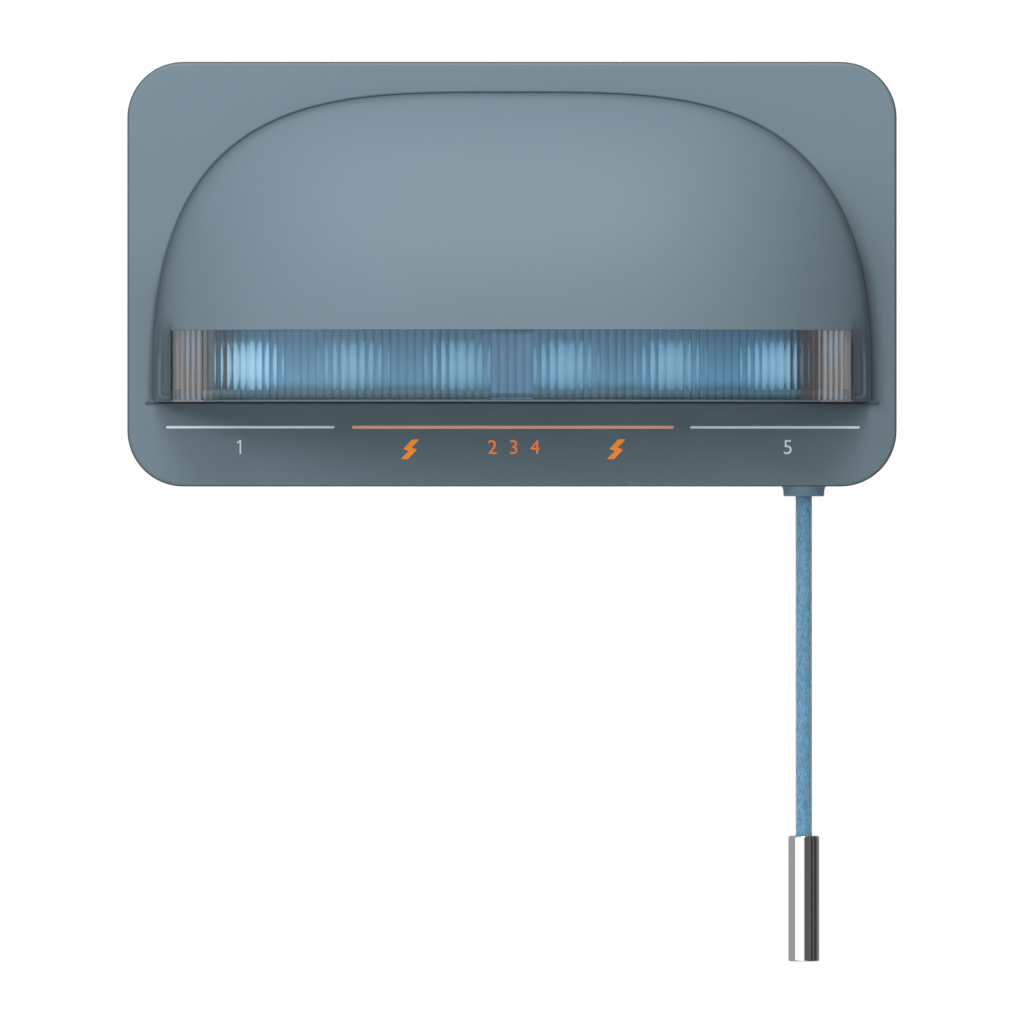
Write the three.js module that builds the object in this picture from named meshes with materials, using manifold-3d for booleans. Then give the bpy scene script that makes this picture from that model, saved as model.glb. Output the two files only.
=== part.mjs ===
// A wall-mounted ultraviolet toothbrush sterilizer with a pull cord, in millimetres.
// X runs to the right, Z up, and the wall is the plane Y = 0, so the front faces -Y.
// "Reach" is the distance of a point from the wall, so a reach of r lies at Y = -r.
// The origin is the middle of the back of the adhesive pad.
import * as THREE from "three";
import { mergeVertices } from "three/addons/utils/BufferGeometryUtils.js";
import Module from "manifold-3d";

const wasm = await Module();
wasm.setup();

// Whole body
const panelWidth = 250;
const panelHeight = 138;
const panelCorner = 18.2;
const panelEdge = 1.2;
const bodyReach = 16;
const wall = 2.2;
const gap = 0.3;
const overrun = 5;
const weld = 0.0001;

// Hood: a dome on a superellipse outline, cut flat at its floor
const hoodSideMargin = 7.6;
const hoodTopMargin = 9.7;
const hoodDepth = 47.7;
const hoodFloorRise = 27.5;
const hoodFoot = 2.3;
const hoodSideShare = 3.5;
const hoodTopShare = 2.8;
const hoodFrontShare = 0.87;
const footOutShares = [1, 0.45, 0.12];
const footUpShares = [0, 0.15, 0.45];
const spigotInset = 2.5;
const spigotWall = 2;
const spigotTail = 4.3;
const spigotRing = 1.5;
const spigotBar = 2.3;

// Ribbed window band in the lower front of the hood
const windowSideMargin = 6.4;
const windowHeight = 23.4;
const lensRecess = 0.4;
const lensWall = 2;
const lensLift = 0.9;
const ribPitch = 3.1;
const ribHeight = 0.5;
const innerInset = 4.2;
const postHalf = 7;
const postReach = 53.3;
const postTopRise = 31.5;
const clampMargin = 0.8;
const clampWidth = 10.2;
const clampReach = 18.6;
const clampTopRise = 28;

// Brush tray that closes the hood from below
const trayHeight = 3.8;
const trayLip = 0.6;
const slotMouthRadius = 9.5;
const slotMouthReach = 40;
const slotNeckWidth = 10;
const slotNeckReach = 28;

// Lamps and the lining of the chamber
const lampEndMargin = 12.25;
const lampRise = 11.7;
const lampRadius = 7.5;
const lampBulge = 5;
const lampFlange = 1;
const lampFlangeHeight = 1;
const lampSocketRadius = 3.4;
const lampSocketDepth = 1.6;
const emitterSide = 4;
const emitterHeight = 1;
const linerWall = 1.5;
const linerReach = 14.6;
const linerEndMargin = 2;
const linerFloorRise = 2.6;
const lampBoardMargin = 2.5;
const lampBoardHeight = 18;
const boardThickness = 1.6;

// Back of the body
const rearGap = 0.5;
const rearWall = 2.3;
const rearEdge = 1;
const padHalfWidth = 57;
const padHalfHeight = 22;
const padThickness = 1;
const padCorner = 4;
const plateMargin = 3;
const plateThickness = 1.7;
const plateCorner = 6;
const pocketClearance = 0.4;
const pocketFloor = 2;
const liftTravel = 6;
const hookSpacing = 45;
const hookHalfWidth = 4;
const hookRise = 8;
const hookThickness = 3;
const hookHeight = 8;
const hookWall = 1.7;
const hookSlack = 0.5;

// Screws that join the rear cover to the face panel and the hood
const screwRadius = 1.5;
const screwHeadRadius = 2.8;
const screwHeadHeight = 1.6;
const screwBite = 8;
const bossRadius = 3.5;
const cornerBossInsetX = 15;
const cornerBossInsetZ = 15;
const cornerBossReach = 6;
const hoodBossReach = 10;
const hoodBossLowMargin = 12.9;
const hoodBossLowRise = 33.5;
const hoodBossClearance = 1;
const hoodBossSkin = 0.5;
const smallScrewRadius = 1.1;
const smallHeadRadius = 2;
const smallHeadHeight = 1.2;

// Electronics
const boardReach = 5.5;
const mainBoardLeftMargin = 55;
const mainBoardClearance = 0.8;
const mainBoardHeight = 20;
const mainBoardFloor = 0.8;
const chipHeight = 1.2;
const chipSide = 10;
const chipShares = [0.4, 0.6, 0.71];
const coilHeight = 3.2;
const coilSide = 7;
const boardPostLeftInset = 8;
const boardPostRightInset = 24;
const cellRadius = 9.2;
const cellLength = 65;
const cellGap = 5;
const cellClearance = 4;
const cradleWall = 1.5;
const cradleReach = 6.7;
const leadRadius = 1;
const lampLeadInset = 14;
const batteryLeadX = 20;
const leadReach = 8.8;
const socketHalf = 3;
const socketHeight = 4.5;

// Charging socket and its rubber plug in the lower edge
const portInset = 30;
const portWidth = 8.9;
const portHeight = 3.2;
const portLength = 7.3;
const portShell = 0.4;
const flapWidth = 18;
const flapHeight = 8.4;
const flapThickness = 1.4;
const tongueWidth = 9.4;
const tongueHeight = 4;
const tongueLength = 0.9;
const tongueClearance = 0.5;

// Pull cord, its collar and its weight
const cordSideMargin = 30.1;
const cordReach = 8;
const cordRadius = 2.6;
const cordHang = 113.6;
const cordGrip = 10;
const collarRadius = 6.65;
const collarHeight = 2.9;
const collarFlare = 0.6;
const collarBore = 3;
const collarNeck = 3.9;
const nutRadius = 5.2;
const nutHeight = 1.8;
const weightRadius = 5;
const weightHeight = 40.8;
const weightEdge = 0.8;
const weightBore = 3;
const weightRoof = 9;
const knotRadius = 3.6;
const knotHeight = 4;
const plugRadius = 4;
const plugHeight = 3;

// Pull switch above the collar
const pullTravel = 5;
const sliderHalfWidth = 6;
const sliderHalfDepth = 3.8;
const sliderHeight = 9;
const sliderBoreDepth = 6;
const springRadius = 3.7;
const springWire = 0.4;
const springHeight = 11;
const springTurnCount = 6;
const housingWall = 1.8;
const housingFloor = 1.5;
const housingFloorRise = 5;
const rampShare = 0.2;
const rampTipRise = 3;
const switchWidth = 6;
const switchHeight = 8;
const switchDepth = 5;
const plungerRadius = 1;
const plungerLength = 6.5;

// Rounding of the faceted shapes
const turnCount = 24;
const smallTurnCount = 10;
const cornerCount = 4;
const domeRingCount = 10;
const domeStepCount = 56;
const curveCount = 36;
const fineCurveCount = 288;
const cordSideCount = 5;
const cordStepCount = 12;
const leadSideCount = 3;
const springSideCount = 5;
const springStepCount = 8;
const ribStepCount = 4;

// Places that follow from the sizes above
const panelFloor = -panelHeight / 2;
const hoodFloor = panelFloor + hoodFloorRise;
const hoodHeight = panelHeight - hoodFloorRise - hoodTopMargin;
const hoodHalfWidth = panelWidth / 2 - hoodSideMargin;
const windowHalf = hoodHalfWidth - windowSideMargin;
const clampOuter = windowHalf - clampMargin;
const clampInner = clampOuter - clampWidth;
const linerHalfWidth = clampInner - linerEndMargin;
const lampBoardHalf = linerHalfWidth - lampBoardMargin;
const windowTop = hoodFloor + windowHeight;
const hoodBase = bodyReach + gap;
const rearInner = rearGap + rearWall;
const panelRear = rearInner + gap;
const faceInner = bodyReach - wall;
const trayTop = hoodFloor + trayHeight;
const trayBack = hoodBase + spigotRing + gap;
const lampZ = hoodFloor + lampRise;
const lensFloor = hoodFloor + lensLift;
const lensCeiling = windowTop - gap;
const plateBack = padThickness + gap;
const plateFront = plateBack + plateThickness;
const plateHalfWidth = padHalfWidth + plateMargin;
const plateHalfHeight = padHalfHeight + plateMargin;
const pocketReach = plateFront + pocketClearance;
const linerFloor = hoodFloor + linerFloorRise;
const lampBoardReach = linerReach - lampFlangeHeight - gap - gap - boardThickness;
const lampScrewX = lampBoardHalf - smallHeadRadius - gap;
const lampScrewZ = lampZ + lampBoardHeight / 2 - smallHeadRadius - gap;
const trayScrewX = (clampInner + clampOuter) / 2;
const trayScrewReach = clampReach + bossRadius + gap;
const cordX = panelWidth / 2 - cordSideMargin;
const switchHalf = sliderHalfWidth + gap + housingWall;
const mainBoardLeft = panelWidth / 2 - mainBoardLeftMargin;
const mainBoardRight = cordX - switchHalf - mainBoardClearance;
const mainBoardZ = panelFloor + wall + mainBoardFloor;
const lampLeadX = mainBoardRight - lampLeadInset;
const portX = portInset - mainBoardLeft;
const leadFoot = mainBoardZ + mainBoardHeight + gap;
const cellX = (cellLength + cellGap) / 2;
const cellReach = cradleReach + cradleWall + gap + cellRadius;
const cellCorner = cellRadius * Math.SQRT1_2;
const cellRoof = roofRise(wall, cellX + cellLength / 2, cellReach + cellCorner);
const cellZ = hoodFloor + cellRoof - cellCorner - cellClearance;
const cradleFloor = cellZ - cellRadius - gap - cradleWall;
const linerTop = cradleFloor - gap;
const portReach = boardReach + boardThickness + gap + portHeight / 2;
const housingBase = panelFloor + housingFloorRise;
const springBase = housingBase + housingFloor + gap;
const sliderBase = springBase + springHeight + gap;
const cordTop = sliderBase + sliderBoreDepth - gap;
const weightTop = panelFloor - cordHang;
const weightFloor = weightTop - weightHeight;
const cordEnd = weightTop - cordGrip;
const plungerZ = sliderBase + rampTipRise;
const plungerReach = cordReach + sliderHalfDepth / 2;
const plungerTip = cordX - sliderHalfWidth + rampShare * pullTravel - gap;
const lampSpan = linerHalfWidth - lampEndMargin;
const slotShares = [-0.8, -0.4, 0, 0.4, 0.8];
const lampShares = [-1, -0.6, -0.2, 0.2, 0.6, 1];
const slots = slotShares.map((share) => share * lampSpan);
const lamps = lampShares.map((share) => share * lampSpan);

// Finishes
const finish = (color, roughness, metalness) =>
  new THREE.MeshStandardMaterial({ color, roughness, metalness });
const shellFinish = finish(0x7b919c, 0.55, 0);
const linerFinish = finish(0x5f7d92, 0.5, 0);
const glassFinish = finish(0x8fb2c9, 0.1, 0);
const bracketFinish = finish(0x77787c, 0.6, 0);
const lampFinish = finish(0x9cc8e8, 0.2, 0);
const boardFinish = finish(0x2f5d46, 0.6, 0);
const darkFinish = finish(0x33383c, 0.6, 0);
const whiteFinish = finish(0xd8dbdc, 0.6, 0);
const rubberFinish = finish(0x5c707b, 0.8, 0);
const cordFinish = finish(0x6997b2, 0.9, 0);
const steelFinish = finish(0xc9cbcc, 0.2, 1);
const cellFinish = finish(0x3f7fb0, 0.4, 0);
const foamFinish = finish(0xe4e4e0, 0.9, 0);

// The highest rise over the hood's floor at which a point still lies under its inset skin.
function roofRise(inset, x, reach) {
  const level = 1 - ((reach - hoodBase) / (hoodDepth - inset)) ** (1 / hoodFrontShare);
  const left = level - (x / (hoodHalfWidth - inset)) ** hoodSideShare;
  return (hoodHeight - inset) * left ** (1 / hoodTopShare);
}

// Turns a closed geometry into a solid whose faces share their vertices.
function solid(geometry) {
  const bare = geometry.index ? geometry.toNonIndexed() : geometry.clone();
  bare.deleteAttribute("normal");
  bare.deleteAttribute("uv");
  const merged = mergeVertices(bare, weld);
  const vertProperties = merged.attributes.position.array;
  const triVerts = new Uint32Array(merged.index.array);
  return new wasm.Manifold(new wasm.Mesh({ numProp: 3, vertProperties, triVerts }));
}

function named(name, shape, material) {
  const { vertProperties, triVerts, numProp } = shape.getMesh();
  const geometry = new THREE.BufferGeometry();
  const positions = new THREE.InterleavedBuffer(vertProperties, numProp);
  geometry.setAttribute("position", new THREE.InterleavedBufferAttribute(positions, 3, 0));
  geometry.setIndex(new THREE.BufferAttribute(triVerts, 1));
  const open = geometry.toNonIndexed();
  open.computeVertexNormals();
  const mesh = new THREE.Mesh(open, material);
  mesh.name = name;
  return mesh;
}

const join = (first, ...others) => others.reduce((sum, other) => sum.add(other), first);
const cut = (first, ...others) => others.reduce((rest, other) => rest.subtract(other), first);

// A block between two values of X, of reach and of Z.
function block([left, right], [near, far], [low, high]) {
  const box = new THREE.BoxGeometry(right - left, far - near, high - low);
  return solid(box.translate((left + right) / 2, -(near + far) / 2, (low + high) / 2));
}

const both = (half) => [-half, half];

// A flat outline in X and Z, carried away from the wall.
function carriedOut(outline, near, far, segments = cornerCount) {
  const options = { depth: far - near, bevelEnabled: false, curveSegments: segments };
  return solid(new THREE.ExtrudeGeometry(outline, options).translate(0, 0, near).rotateX(Math.PI / 2));
}

// A flat outline in X and Y, carried up.
function carriedUp(outline, low, high, segments = cornerCount) {
  const options = { depth: high - low, bevelEnabled: false, curveSegments: segments };
  return solid(new THREE.ExtrudeGeometry(outline, options).translate(0, 0, low));
}

// A profile of [radius, Z] turned about an upright axis.
function turnedUpright(profile, x, reach, count = turnCount) {
  const points = profile.map(([radius, z]) => new THREE.Vector2(radius, z));
  return solid(new THREE.LatheGeometry(points, count).rotateX(Math.PI / 2).translate(x, -reach, 0));
}

// A profile of [radius, reach] turned about an axis that leaves the wall.
function turnedOut(profile, x, z, count = turnCount) {
  const points = profile.map(([radius, reach]) => new THREE.Vector2(radius, reach));
  return solid(new THREE.LatheGeometry(points, count).rotateX(Math.PI).translate(x, 0, z));
}

const rodOut = (radius, x, z, near, far, count = smallTurnCount) =>
  turnedOut([[0, near], [radius, near], [radius, far], [0, far]], x, z, count);
const rodUp = (radius, x, reach, low, high, count = smallTurnCount) =>
  turnedUpright([[0, low], [radius, low], [radius, high], [0, high]], x, reach, count);

function roundedOutline(width, height, corner) {
  const outline = new THREE.Shape();
  const x = width / 2 - corner;
  const z = height / 2 - corner;
  outline.absarc(x, z, corner, 0, Math.PI / 2);
  outline.absarc(-x, z, corner, Math.PI / 2, Math.PI);
  outline.absarc(-x, -z, corner, Math.PI, 1.5 * Math.PI);
  outline.absarc(x, -z, corner, 1.5 * Math.PI, 2 * Math.PI);
  outline.closePath();
  return outline;
}

// A closed skin over rings of points that run from the wall outwards, with a flat fan at both ends.
function lofted(rings) {
  const size = rings[0].length;
  const ends = [rings[0], rings[rings.length - 1]];
  const middles = ends.map((ring) =>
    ring.reduce((sum, point) => sum.add(point), new THREE.Vector3()).divideScalar(size));
  const points = [...rings.flat(), ...middles];
  const faces = [];
  const last = (rings.length - 1) * size;
  for (let i = 0; i < size; i++) {
    const next = (i + 1) % size;
    for (let row = 0; row < last; row += size) {
      faces.push(row + i, row + next, row + size + next, row + i, row + size + next, row + size + i);
    }
    faces.push(i, points.length - 2, next, last + i, last + next, points.length - 1);
  }
  const geometry = new THREE.BufferGeometry().setFromPoints(points);
  geometry.setIndex(faces);
  return solid(geometry);
}

// A plate with rounded corners whose edge is rounded on the side of its second reach.
function roundedPlate(width, height, corner, near, far, edge) {
  const side = Math.sign(far - near);
  const levels = [[0, near], [0, far - side * edge]];
  for (const share of [1 / 2, 1]) {
    const turn = (share * Math.PI) / 2;
    levels.push([edge * (1 - Math.cos(turn)), far - side * edge * (1 - Math.sin(turn))]);
  }
  const rings = levels.map(([inset, reach]) =>
    roundedOutline(width - 2 * inset, height - 2 * inset, corner - inset)
      .getPoints(cornerCount)
      .slice(0, -1)
      .map(({ x, y }) => new THREE.Vector3(x, -reach, y)));
  return lofted(side > 0 ? rings : rings.reverse());
}

// One ring of the hood's superellipse outline, at a share of its level and a reach.
function hoodRing(inset, level, reach) {
  const ring = [];
  for (let step = 0; step < domeStepCount; step++) {
    const turn = (step / domeStepCount) * 2 * Math.PI;
    const side = Math.sign(Math.cos(turn)) * Math.abs(Math.cos(turn)) ** (2 / hoodSideShare);
    const rise = Math.sign(Math.sin(turn)) * Math.abs(Math.sin(turn)) ** (2 / hoodTopShare);
    const x = (hoodHalfWidth - inset) * level ** (1 / hoodSideShare) * side;
    const z = hoodFloor + (hoodHeight - inset) * level ** (1 / hoodTopShare) * rise;
    ring.push(new THREE.Vector3(x, -reach, z));
  }
  return ring;
}

// The hood's dome, drawn in by an inset, with a straight tail towards the wall and a flared foot.
function hoodDome(inset, tail, foot) {
  const rings = tail > 0 ? [hoodRing(inset, 1, hoodBase - tail)] : [];
  footOutShares.forEach((out, i) => {
    if (foot > 0) rings.push(hoodRing(inset - foot * out, 1, hoodBase + foot * footUpShares[i]));
  });
  if (foot === 0) rings.push(hoodRing(inset, 1, hoodBase));
  for (let ring = domeRingCount - 1; ring > 0; ring--) {
    const level = Math.sin((ring / domeRingCount) * (Math.PI / 2)) ** hoodSideShare;
    const depth = (hoodDepth - inset) * (1 - level) ** hoodFrontShare;
    if (depth > foot) rings.push(hoodRing(inset, level, hoodBase + depth));
  }
  return lofted(rings);
}

const hoodColumn = (inset, near, far) => lofted([hoodRing(inset, 1, near), hoodRing(inset, 1, far)]);
const aboveFloor = (rise) =>
  block(both(panelWidth), [-overrun, hoodBase + hoodDepth + overrun], [hoodFloor + rise, panelHeight]);

// The hood's front line in plan at a rise over its floor, as [x, reach] pairs.
function planLine(inset, rise, count) {
  const level = 1 - (rise / (hoodHeight - inset)) ** hoodTopShare;
  const line = [];
  for (let step = 0; step <= count; step++) {
    const turn = (step / count - 0.5) * Math.PI;
    const side = Math.sign(turn) * (level * Math.sin(turn) ** 2) ** (1 / hoodSideShare);
    const depth = (level * Math.cos(turn) ** 2) ** hoodFrontShare;
    line.push([(hoodHalfWidth - inset) * side, hoodBase + (hoodDepth - inset) * depth]);
  }
  return line;
}

// The part of a plan line between two values of X, with its ends on them.
function clipped(line, half) {
  const kept = [];
  for (let i = 1; i < line.length; i++) {
    const [[x0, reach0], [x1, reach1]] = [line[i - 1], line[i]];
    for (const edge of both(half)) {
      if (x0 < edge && x1 > edge) kept.push([edge, reach0 + ((edge - x0) / (x1 - x0)) * (reach1 - reach0)]);
    }
    if (Math.abs(x1) < half) kept.push([x1, reach1]);
  }
  return kept;
}

const planShape = (line) => new THREE.Shape(line.map(([x, reach]) => new THREE.Vector2(x, -reach)));

const cornerBosses = [-1, 1].flatMap((side) => [-1, 1].map((end) => ({
  x: side * (panelWidth / 2 - cornerBossInsetX),
  z: end * (panelHeight / 2 - cornerBossInsetZ),
  reach: cornerBossReach,
})));
const hoodBosses = [-1, 1].flatMap((side) => [
  { x: side * (hoodHalfWidth - hoodBossLowMargin), z: hoodFloor + hoodBossLowRise, reach: hoodBossReach },
  { x: side * cellX, z: cellZ + cellRadius + bossRadius + hoodBossClearance, reach: hoodBossReach },
]);
const boardPosts = [boardPostLeftInset - mainBoardLeft, mainBoardRight - boardPostRightInset].map((x) => ({
  x,
  z: mainBoardZ + mainBoardHeight / 2,
}));

function adhesivePad() {
  return carriedOut(roundedOutline(2 * padHalfWidth, 2 * padHalfHeight, padCorner), 0, padThickness);
}

function wallPlate() {
  const outline = roundedOutline(2 * plateHalfWidth, 2 * plateHalfHeight, plateCorner);
  const behind = pocketReach + pocketFloor + pocketClearance;
  const armDepth = [plateBack + plateThickness / 2, behind + hookWall];
  const hooks = [-1, 1].flatMap((side) => {
    const across = [side * hookSpacing - hookHalfWidth, side * hookSpacing + hookHalfWidth];
    return [
      block(across, armDepth, [hookRise, hookRise + hookThickness]),
      block(across, [behind, behind + hookWall], [hookRise, hookRise + hookHeight]),
    ];
  });
  return join(carriedOut(outline, plateBack, plateFront), ...hooks);
}

function rearCover() {
  const shell = roundedPlate(panelWidth, panelHeight, panelCorner, rearInner, rearGap, rearEdge);
  const across = both(plateHalfWidth + hookSlack);
  const upright = [-plateHalfHeight - liftTravel - hookSlack, plateHalfHeight + hookSlack];
  const thick = ([low, high]) => [low - wall, high + wall];
  const bulge = block(thick(across), [rearGap + rearEdge, pocketReach + pocketFloor], thick(upright));
  const pocket = block(across, [0, pocketReach], upright);
  const hookSlots = [-1, 1].map((side) => {
    const slotTop = hookRise + hookThickness + gap;
    const half = hookHalfWidth + hookSlack;
    const slotAcross = [side * hookSpacing - half, side * hookSpacing + half];
    const drop = hookHeight + 3 * hookSlack;
    return block(slotAcross, [0, pocketReach + pocketFloor + overrun], [slotTop - drop, slotTop]);
  });
  const bosses = [...cornerBosses, ...hoodBosses];
  const posts = bosses.map(({ x, z, reach }) =>
    rodOut(bossRadius, x, z, rearInner - rearWall / 2, reach - gap));
  const holes = bosses.flatMap(({ x, z, reach }) => [
    rodOut(screwRadius + gap, x, z, 0, reach + overrun),
    rodOut(screwHeadRadius + gap, x, z, 0, rearGap + screwHeadHeight + gap),
  ]);
  return cut(join(shell, bulge, ...posts), pocket, ...hookSlots, ...holes);
}

// The flat face with its side walls and the opening that the hood's spigot passes.
function facePanel() {
  const outer = roundedPlate(panelWidth, panelHeight, panelCorner, panelRear, bodyReach, panelEdge);
  const innerCorner = panelCorner - wall;
  const hollowOutline = roundedOutline(panelWidth - 2 * wall, panelHeight - 2 * wall, innerCorner);
  const hollow = carriedOut(hollowOutline, 0, faceInner);
  const opening = hoodColumn(spigotInset - gap, faceInner - overrun, bodyReach + overrun);
  const bosses = cornerBosses.map(({ x, z, reach }) => rodOut(bossRadius, x, z, reach, faceInner + wall / 2));
  const pilots = cornerBosses.map(({ x, z, reach }) =>
    rodOut(screwRadius + gap, x, z, 0, reach + screwBite - gap - gap));
  const posts = boardPosts.map(({ x, z }) =>
    rodOut(bossRadius, x, z, boardReach + boardThickness + gap, faceInner + wall / 2));
  const postPilots = boardPosts.map(({ x, z }) =>
    rodOut(smallScrewRadius + gap, x, z, 0, faceInner - gap));
  const cordHole = rodUp(collarNeck + gap, cordX, cordReach, panelFloor - overrun, panelFloor + overrun);
  const flapRecess = block(
    [portX - flapWidth / 2 - gap, portX + flapWidth / 2 + gap],
    [portReach - flapHeight / 2 - gap, portReach + flapHeight / 2 + gap],
    [panelFloor - overrun, panelFloor + flapThickness + gap],
  );
  const tongueHole = block(
    [portX - tongueWidth / 2 - tongueClearance, portX + tongueWidth / 2 + tongueClearance],
    [portReach - tongueHeight / 2 - tongueClearance, portReach + tongueHeight / 2 + tongueClearance],
    [panelFloor - overrun, panelFloor + overrun],
  );
  const cavity = hollow.subtract(join(bosses[0], ...bosses.slice(1), ...posts));
  const openFace = opening.intersect(aboveFloor(0));
  return cut(outer, cavity, openFace, ...pilots, ...postPilots, cordHole, flapRecess, tongueHole);
}

// The domed hood with its spigot, its screw bosses and the opening of the window.
function hoodShell() {
  const inner = hoodDome(wall, gap, 0);
  const ringInset = spigotInset + spigotWall;
  const ring = hoodColumn(0, hoodBase, hoodBase + spigotRing);
  const spigot = hoodColumn(spigotInset, hoodBase - spigotTail, hoodBase + spigotRing);
  const throat = hoodColumn(ringInset, hoodBase - spigotTail - overrun, hoodBase + spigotRing + overrun);
  const bosses = hoodBosses.map(({ x, z, reach }) => rodOut(bossRadius, x, z, reach, hoodBase + hoodDepth));
  const tail = hoodBase - hoodBossReach + gap;
  const solidBosses = bosses.map((boss) => boss.intersect(hoodDome(hoodBossSkin, tail, 0)));
  const pilots = hoodBosses.map(({ x, z, reach }) =>
    rodOut(screwRadius + gap, x, z, 0, reach + screwBite + gap));
  const openThroat = throat.intersect(aboveFloor(spigotBar));
  const front = [hoodBase + hoodFoot + gap, hoodBase + hoodDepth + overrun];
  const opening = block(both(windowHalf), front, [hoodFloor - overrun, windowTop]);
  const shell = cut(hoodDome(0, 0, hoodFoot), inner).intersect(aboveFloor(0));
  const rim = join(ring.intersect(aboveFloor(0)), spigot.intersect(aboveFloor(gap)));
  return cut(join(shell, cut(rim, openThroat), ...solidBosses), opening, ...pilots);
}

// The line with half-round ribs raised on it at a steady pitch along its length.
function ribbedLine(line) {
  const lengths = [0];
  for (let i = 1; i < line.length; i++) {
    const [[x0, reach0], [x1, reach1]] = [line[i - 1], line[i]];
    lengths.push(lengths[i - 1] + Math.hypot(x1 - x0, reach1 - reach0));
  }
  const total = lengths[lengths.length - 1];
  const count = Math.round(total / ribPitch) * ribStepCount;
  const ribbed = [];
  for (let step = 0; step <= count; step++) {
    const along = (step / count) * total;
    const i = Math.max(1, lengths.findIndex((length) => length >= along));
    const share = (along - lengths[i - 1]) / (lengths[i] - lengths[i - 1]);
    const [x0, reach0] = line[i - 1];
    const [stepX, stepReach] = [line[i][0] - x0, line[i][1] - reach0];
    const height = ribHeight * Math.sin((step / ribStepCount) * Math.PI % Math.PI);
    const raised = height / Math.hypot(stepX, stepReach);
    ribbed.push([x0 + share * stepX - raised * stepReach, reach0 + share * stepReach + raised * stepX]);
  }
  return ribbed;
}

// The clear window: a curved band with upright half-round ribs on its face.
function windowLens() {
  const half = windowHalf - gap;
  const front = clipped(planLine(lensRecess + ribHeight, windowHeight, fineCurveCount), half);
  const back = clipped(planLine(lensRecess + lensWall + ribHeight, windowHeight, curveCount), half);
  const ribbed = ribbedLine(front).map(([x, reach]) => [Math.min(half, Math.max(-half, x)), reach]);
  return carriedUp(planShape([...ribbed, ...back.reverse()]), lensFloor, lensCeiling);
}

// A support that stands behind the window and follows the hood's curve.
function windowSupport(across, near, [low, high]) {
  const stem = block(across, [near, hoodBase + hoodDepth], [low, high]);
  return stem.intersect(hoodDome(innerInset, 0, 0));
}

function windowPost() {
  return windowSupport(both(postHalf), postReach, [lensFloor, hoodFloor + postTopRise]);
}

function windowClamp(side) {
  const across = side > 0 ? [clampInner, clampOuter] : [-clampOuter, -clampInner];
  const stem = windowSupport(across, clampReach, [trayTop + gap, hoodFloor + clampTopRise]);
  const pilotTop = trayTop + screwBite;
  return cut(stem, rodUp(smallScrewRadius + gap, side * trayScrewX, trayScrewReach, hoodFloor, pilotTop));
}

// The floor of the hood with five keyhole slots: a wide mouth for the head, a neck towards the wall.
function brushTray() {
  const low = hoodFloor - overrun;
  const high = trayTop + overrun;
  const plateLine = planLine(innerInset, 0, curveCount).filter(([, reach]) => reach > trayBack);
  const plateEnd = -plateLine[0][0];
  const plateShape = planShape([...plateLine, [plateEnd, trayBack], [-plateEnd, trayBack]]);
  const plate = carriedUp(plateShape, hoodFloor + trayLip / 2, trayTop);
  const lipEnd = windowHalf - gap;
  const lipLine = clipped(planLine(lensRecess, 0, curveCount), lipEnd);
  const lipShape = planShape([...lipLine, [lipEnd, trayBack], [-lipEnd, trayBack]]);
  const lip = carriedUp(lipShape, hoodFloor, hoodFloor + trayLip);
  const neck = slotNeckWidth / 2;
  const slotCuts = slots.flatMap((x) => [
    rodUp(slotMouthRadius, x, slotMouthReach, low, high, turnCount),
    rodUp(neck, x, slotNeckReach, low, high, turnCount),
    block([x - neck, x + neck], [slotNeckReach, slotMouthReach], [low, high]),
  ]);
  const notchDepth = [postReach - gap, hoodBase + hoodDepth];
  const notch = block(both(postHalf + gap), notchDepth, [hoodFloor + trayLip, high]);
  const headTop = hoodFloor + smallHeadHeight + gap;
  const screwHoles = both(trayScrewX).flatMap((x) => [
    rodUp(smallScrewRadius + gap, x, trayScrewReach, low, high),
    rodUp(smallHeadRadius + gap, x, trayScrewReach, low, headTop),
  ]);
  return cut(join(plate, lip), ...slotCuts, notch, ...screwHoles);
}

// The chamber's lining: back wall, roof and two ends, with a round hole for each lamp.
function chamberLiner() {
  const outer = block(both(linerHalfWidth), [linerReach, hoodBase + hoodDepth], [linerFloor, linerTop]);
  const hollow = block(
    both(linerHalfWidth - linerWall),
    [linerReach + linerWall, hoodBase + hoodDepth + overrun],
    [linerFloor - overrun, linerTop - linerWall],
  );
  const box = outer.intersect(hoodDome(innerInset, hoodBase - linerReach + gap, 0));
  const ends = [trayBack, hoodBase + hoodDepth];
  const trayRoom = block(both(panelWidth), ends, [hoodFloor, trayTop + gap]);
  const lampHoles = lamps.map((x) => rodOut(lampRadius + gap, x, lampZ, 0, linerReach + overrun, turnCount));
  const screwHoles = both(lampScrewX).map((x) =>
    rodOut(smallScrewRadius + gap, x, lampScrewZ, 0, linerReach + overrun));
  return cut(box, hollow, trayRoom, ...lampHoles, ...screwHoles);
}

function lampBoard() {
  const half = lampBoardHeight / 2;
  const far = lampBoardReach + boardThickness;
  const plate = block(both(lampBoardHalf), [lampBoardReach, far], [lampZ - half, lampZ + half]);
  const depth = [leadReach - leadRadius, lampBoardReach + boardThickness / 2];
  const socket = leadSocket(lampLeadX, depth, lampZ);
  const holes = both(lampScrewX).map((x) =>
    rodOut(smallScrewRadius + gap, x, lampScrewZ, 0, far + overrun));
  return cut(join(plate, socket), ...holes);
}

function uvEmitter(x) {
  const near = lampBoardReach + boardThickness + gap / 2;
  const half = emitterSide / 2;
  return block([x - half, x + half], [near, near + emitterHeight], [lampZ - half, lampZ + half]);
}

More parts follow.
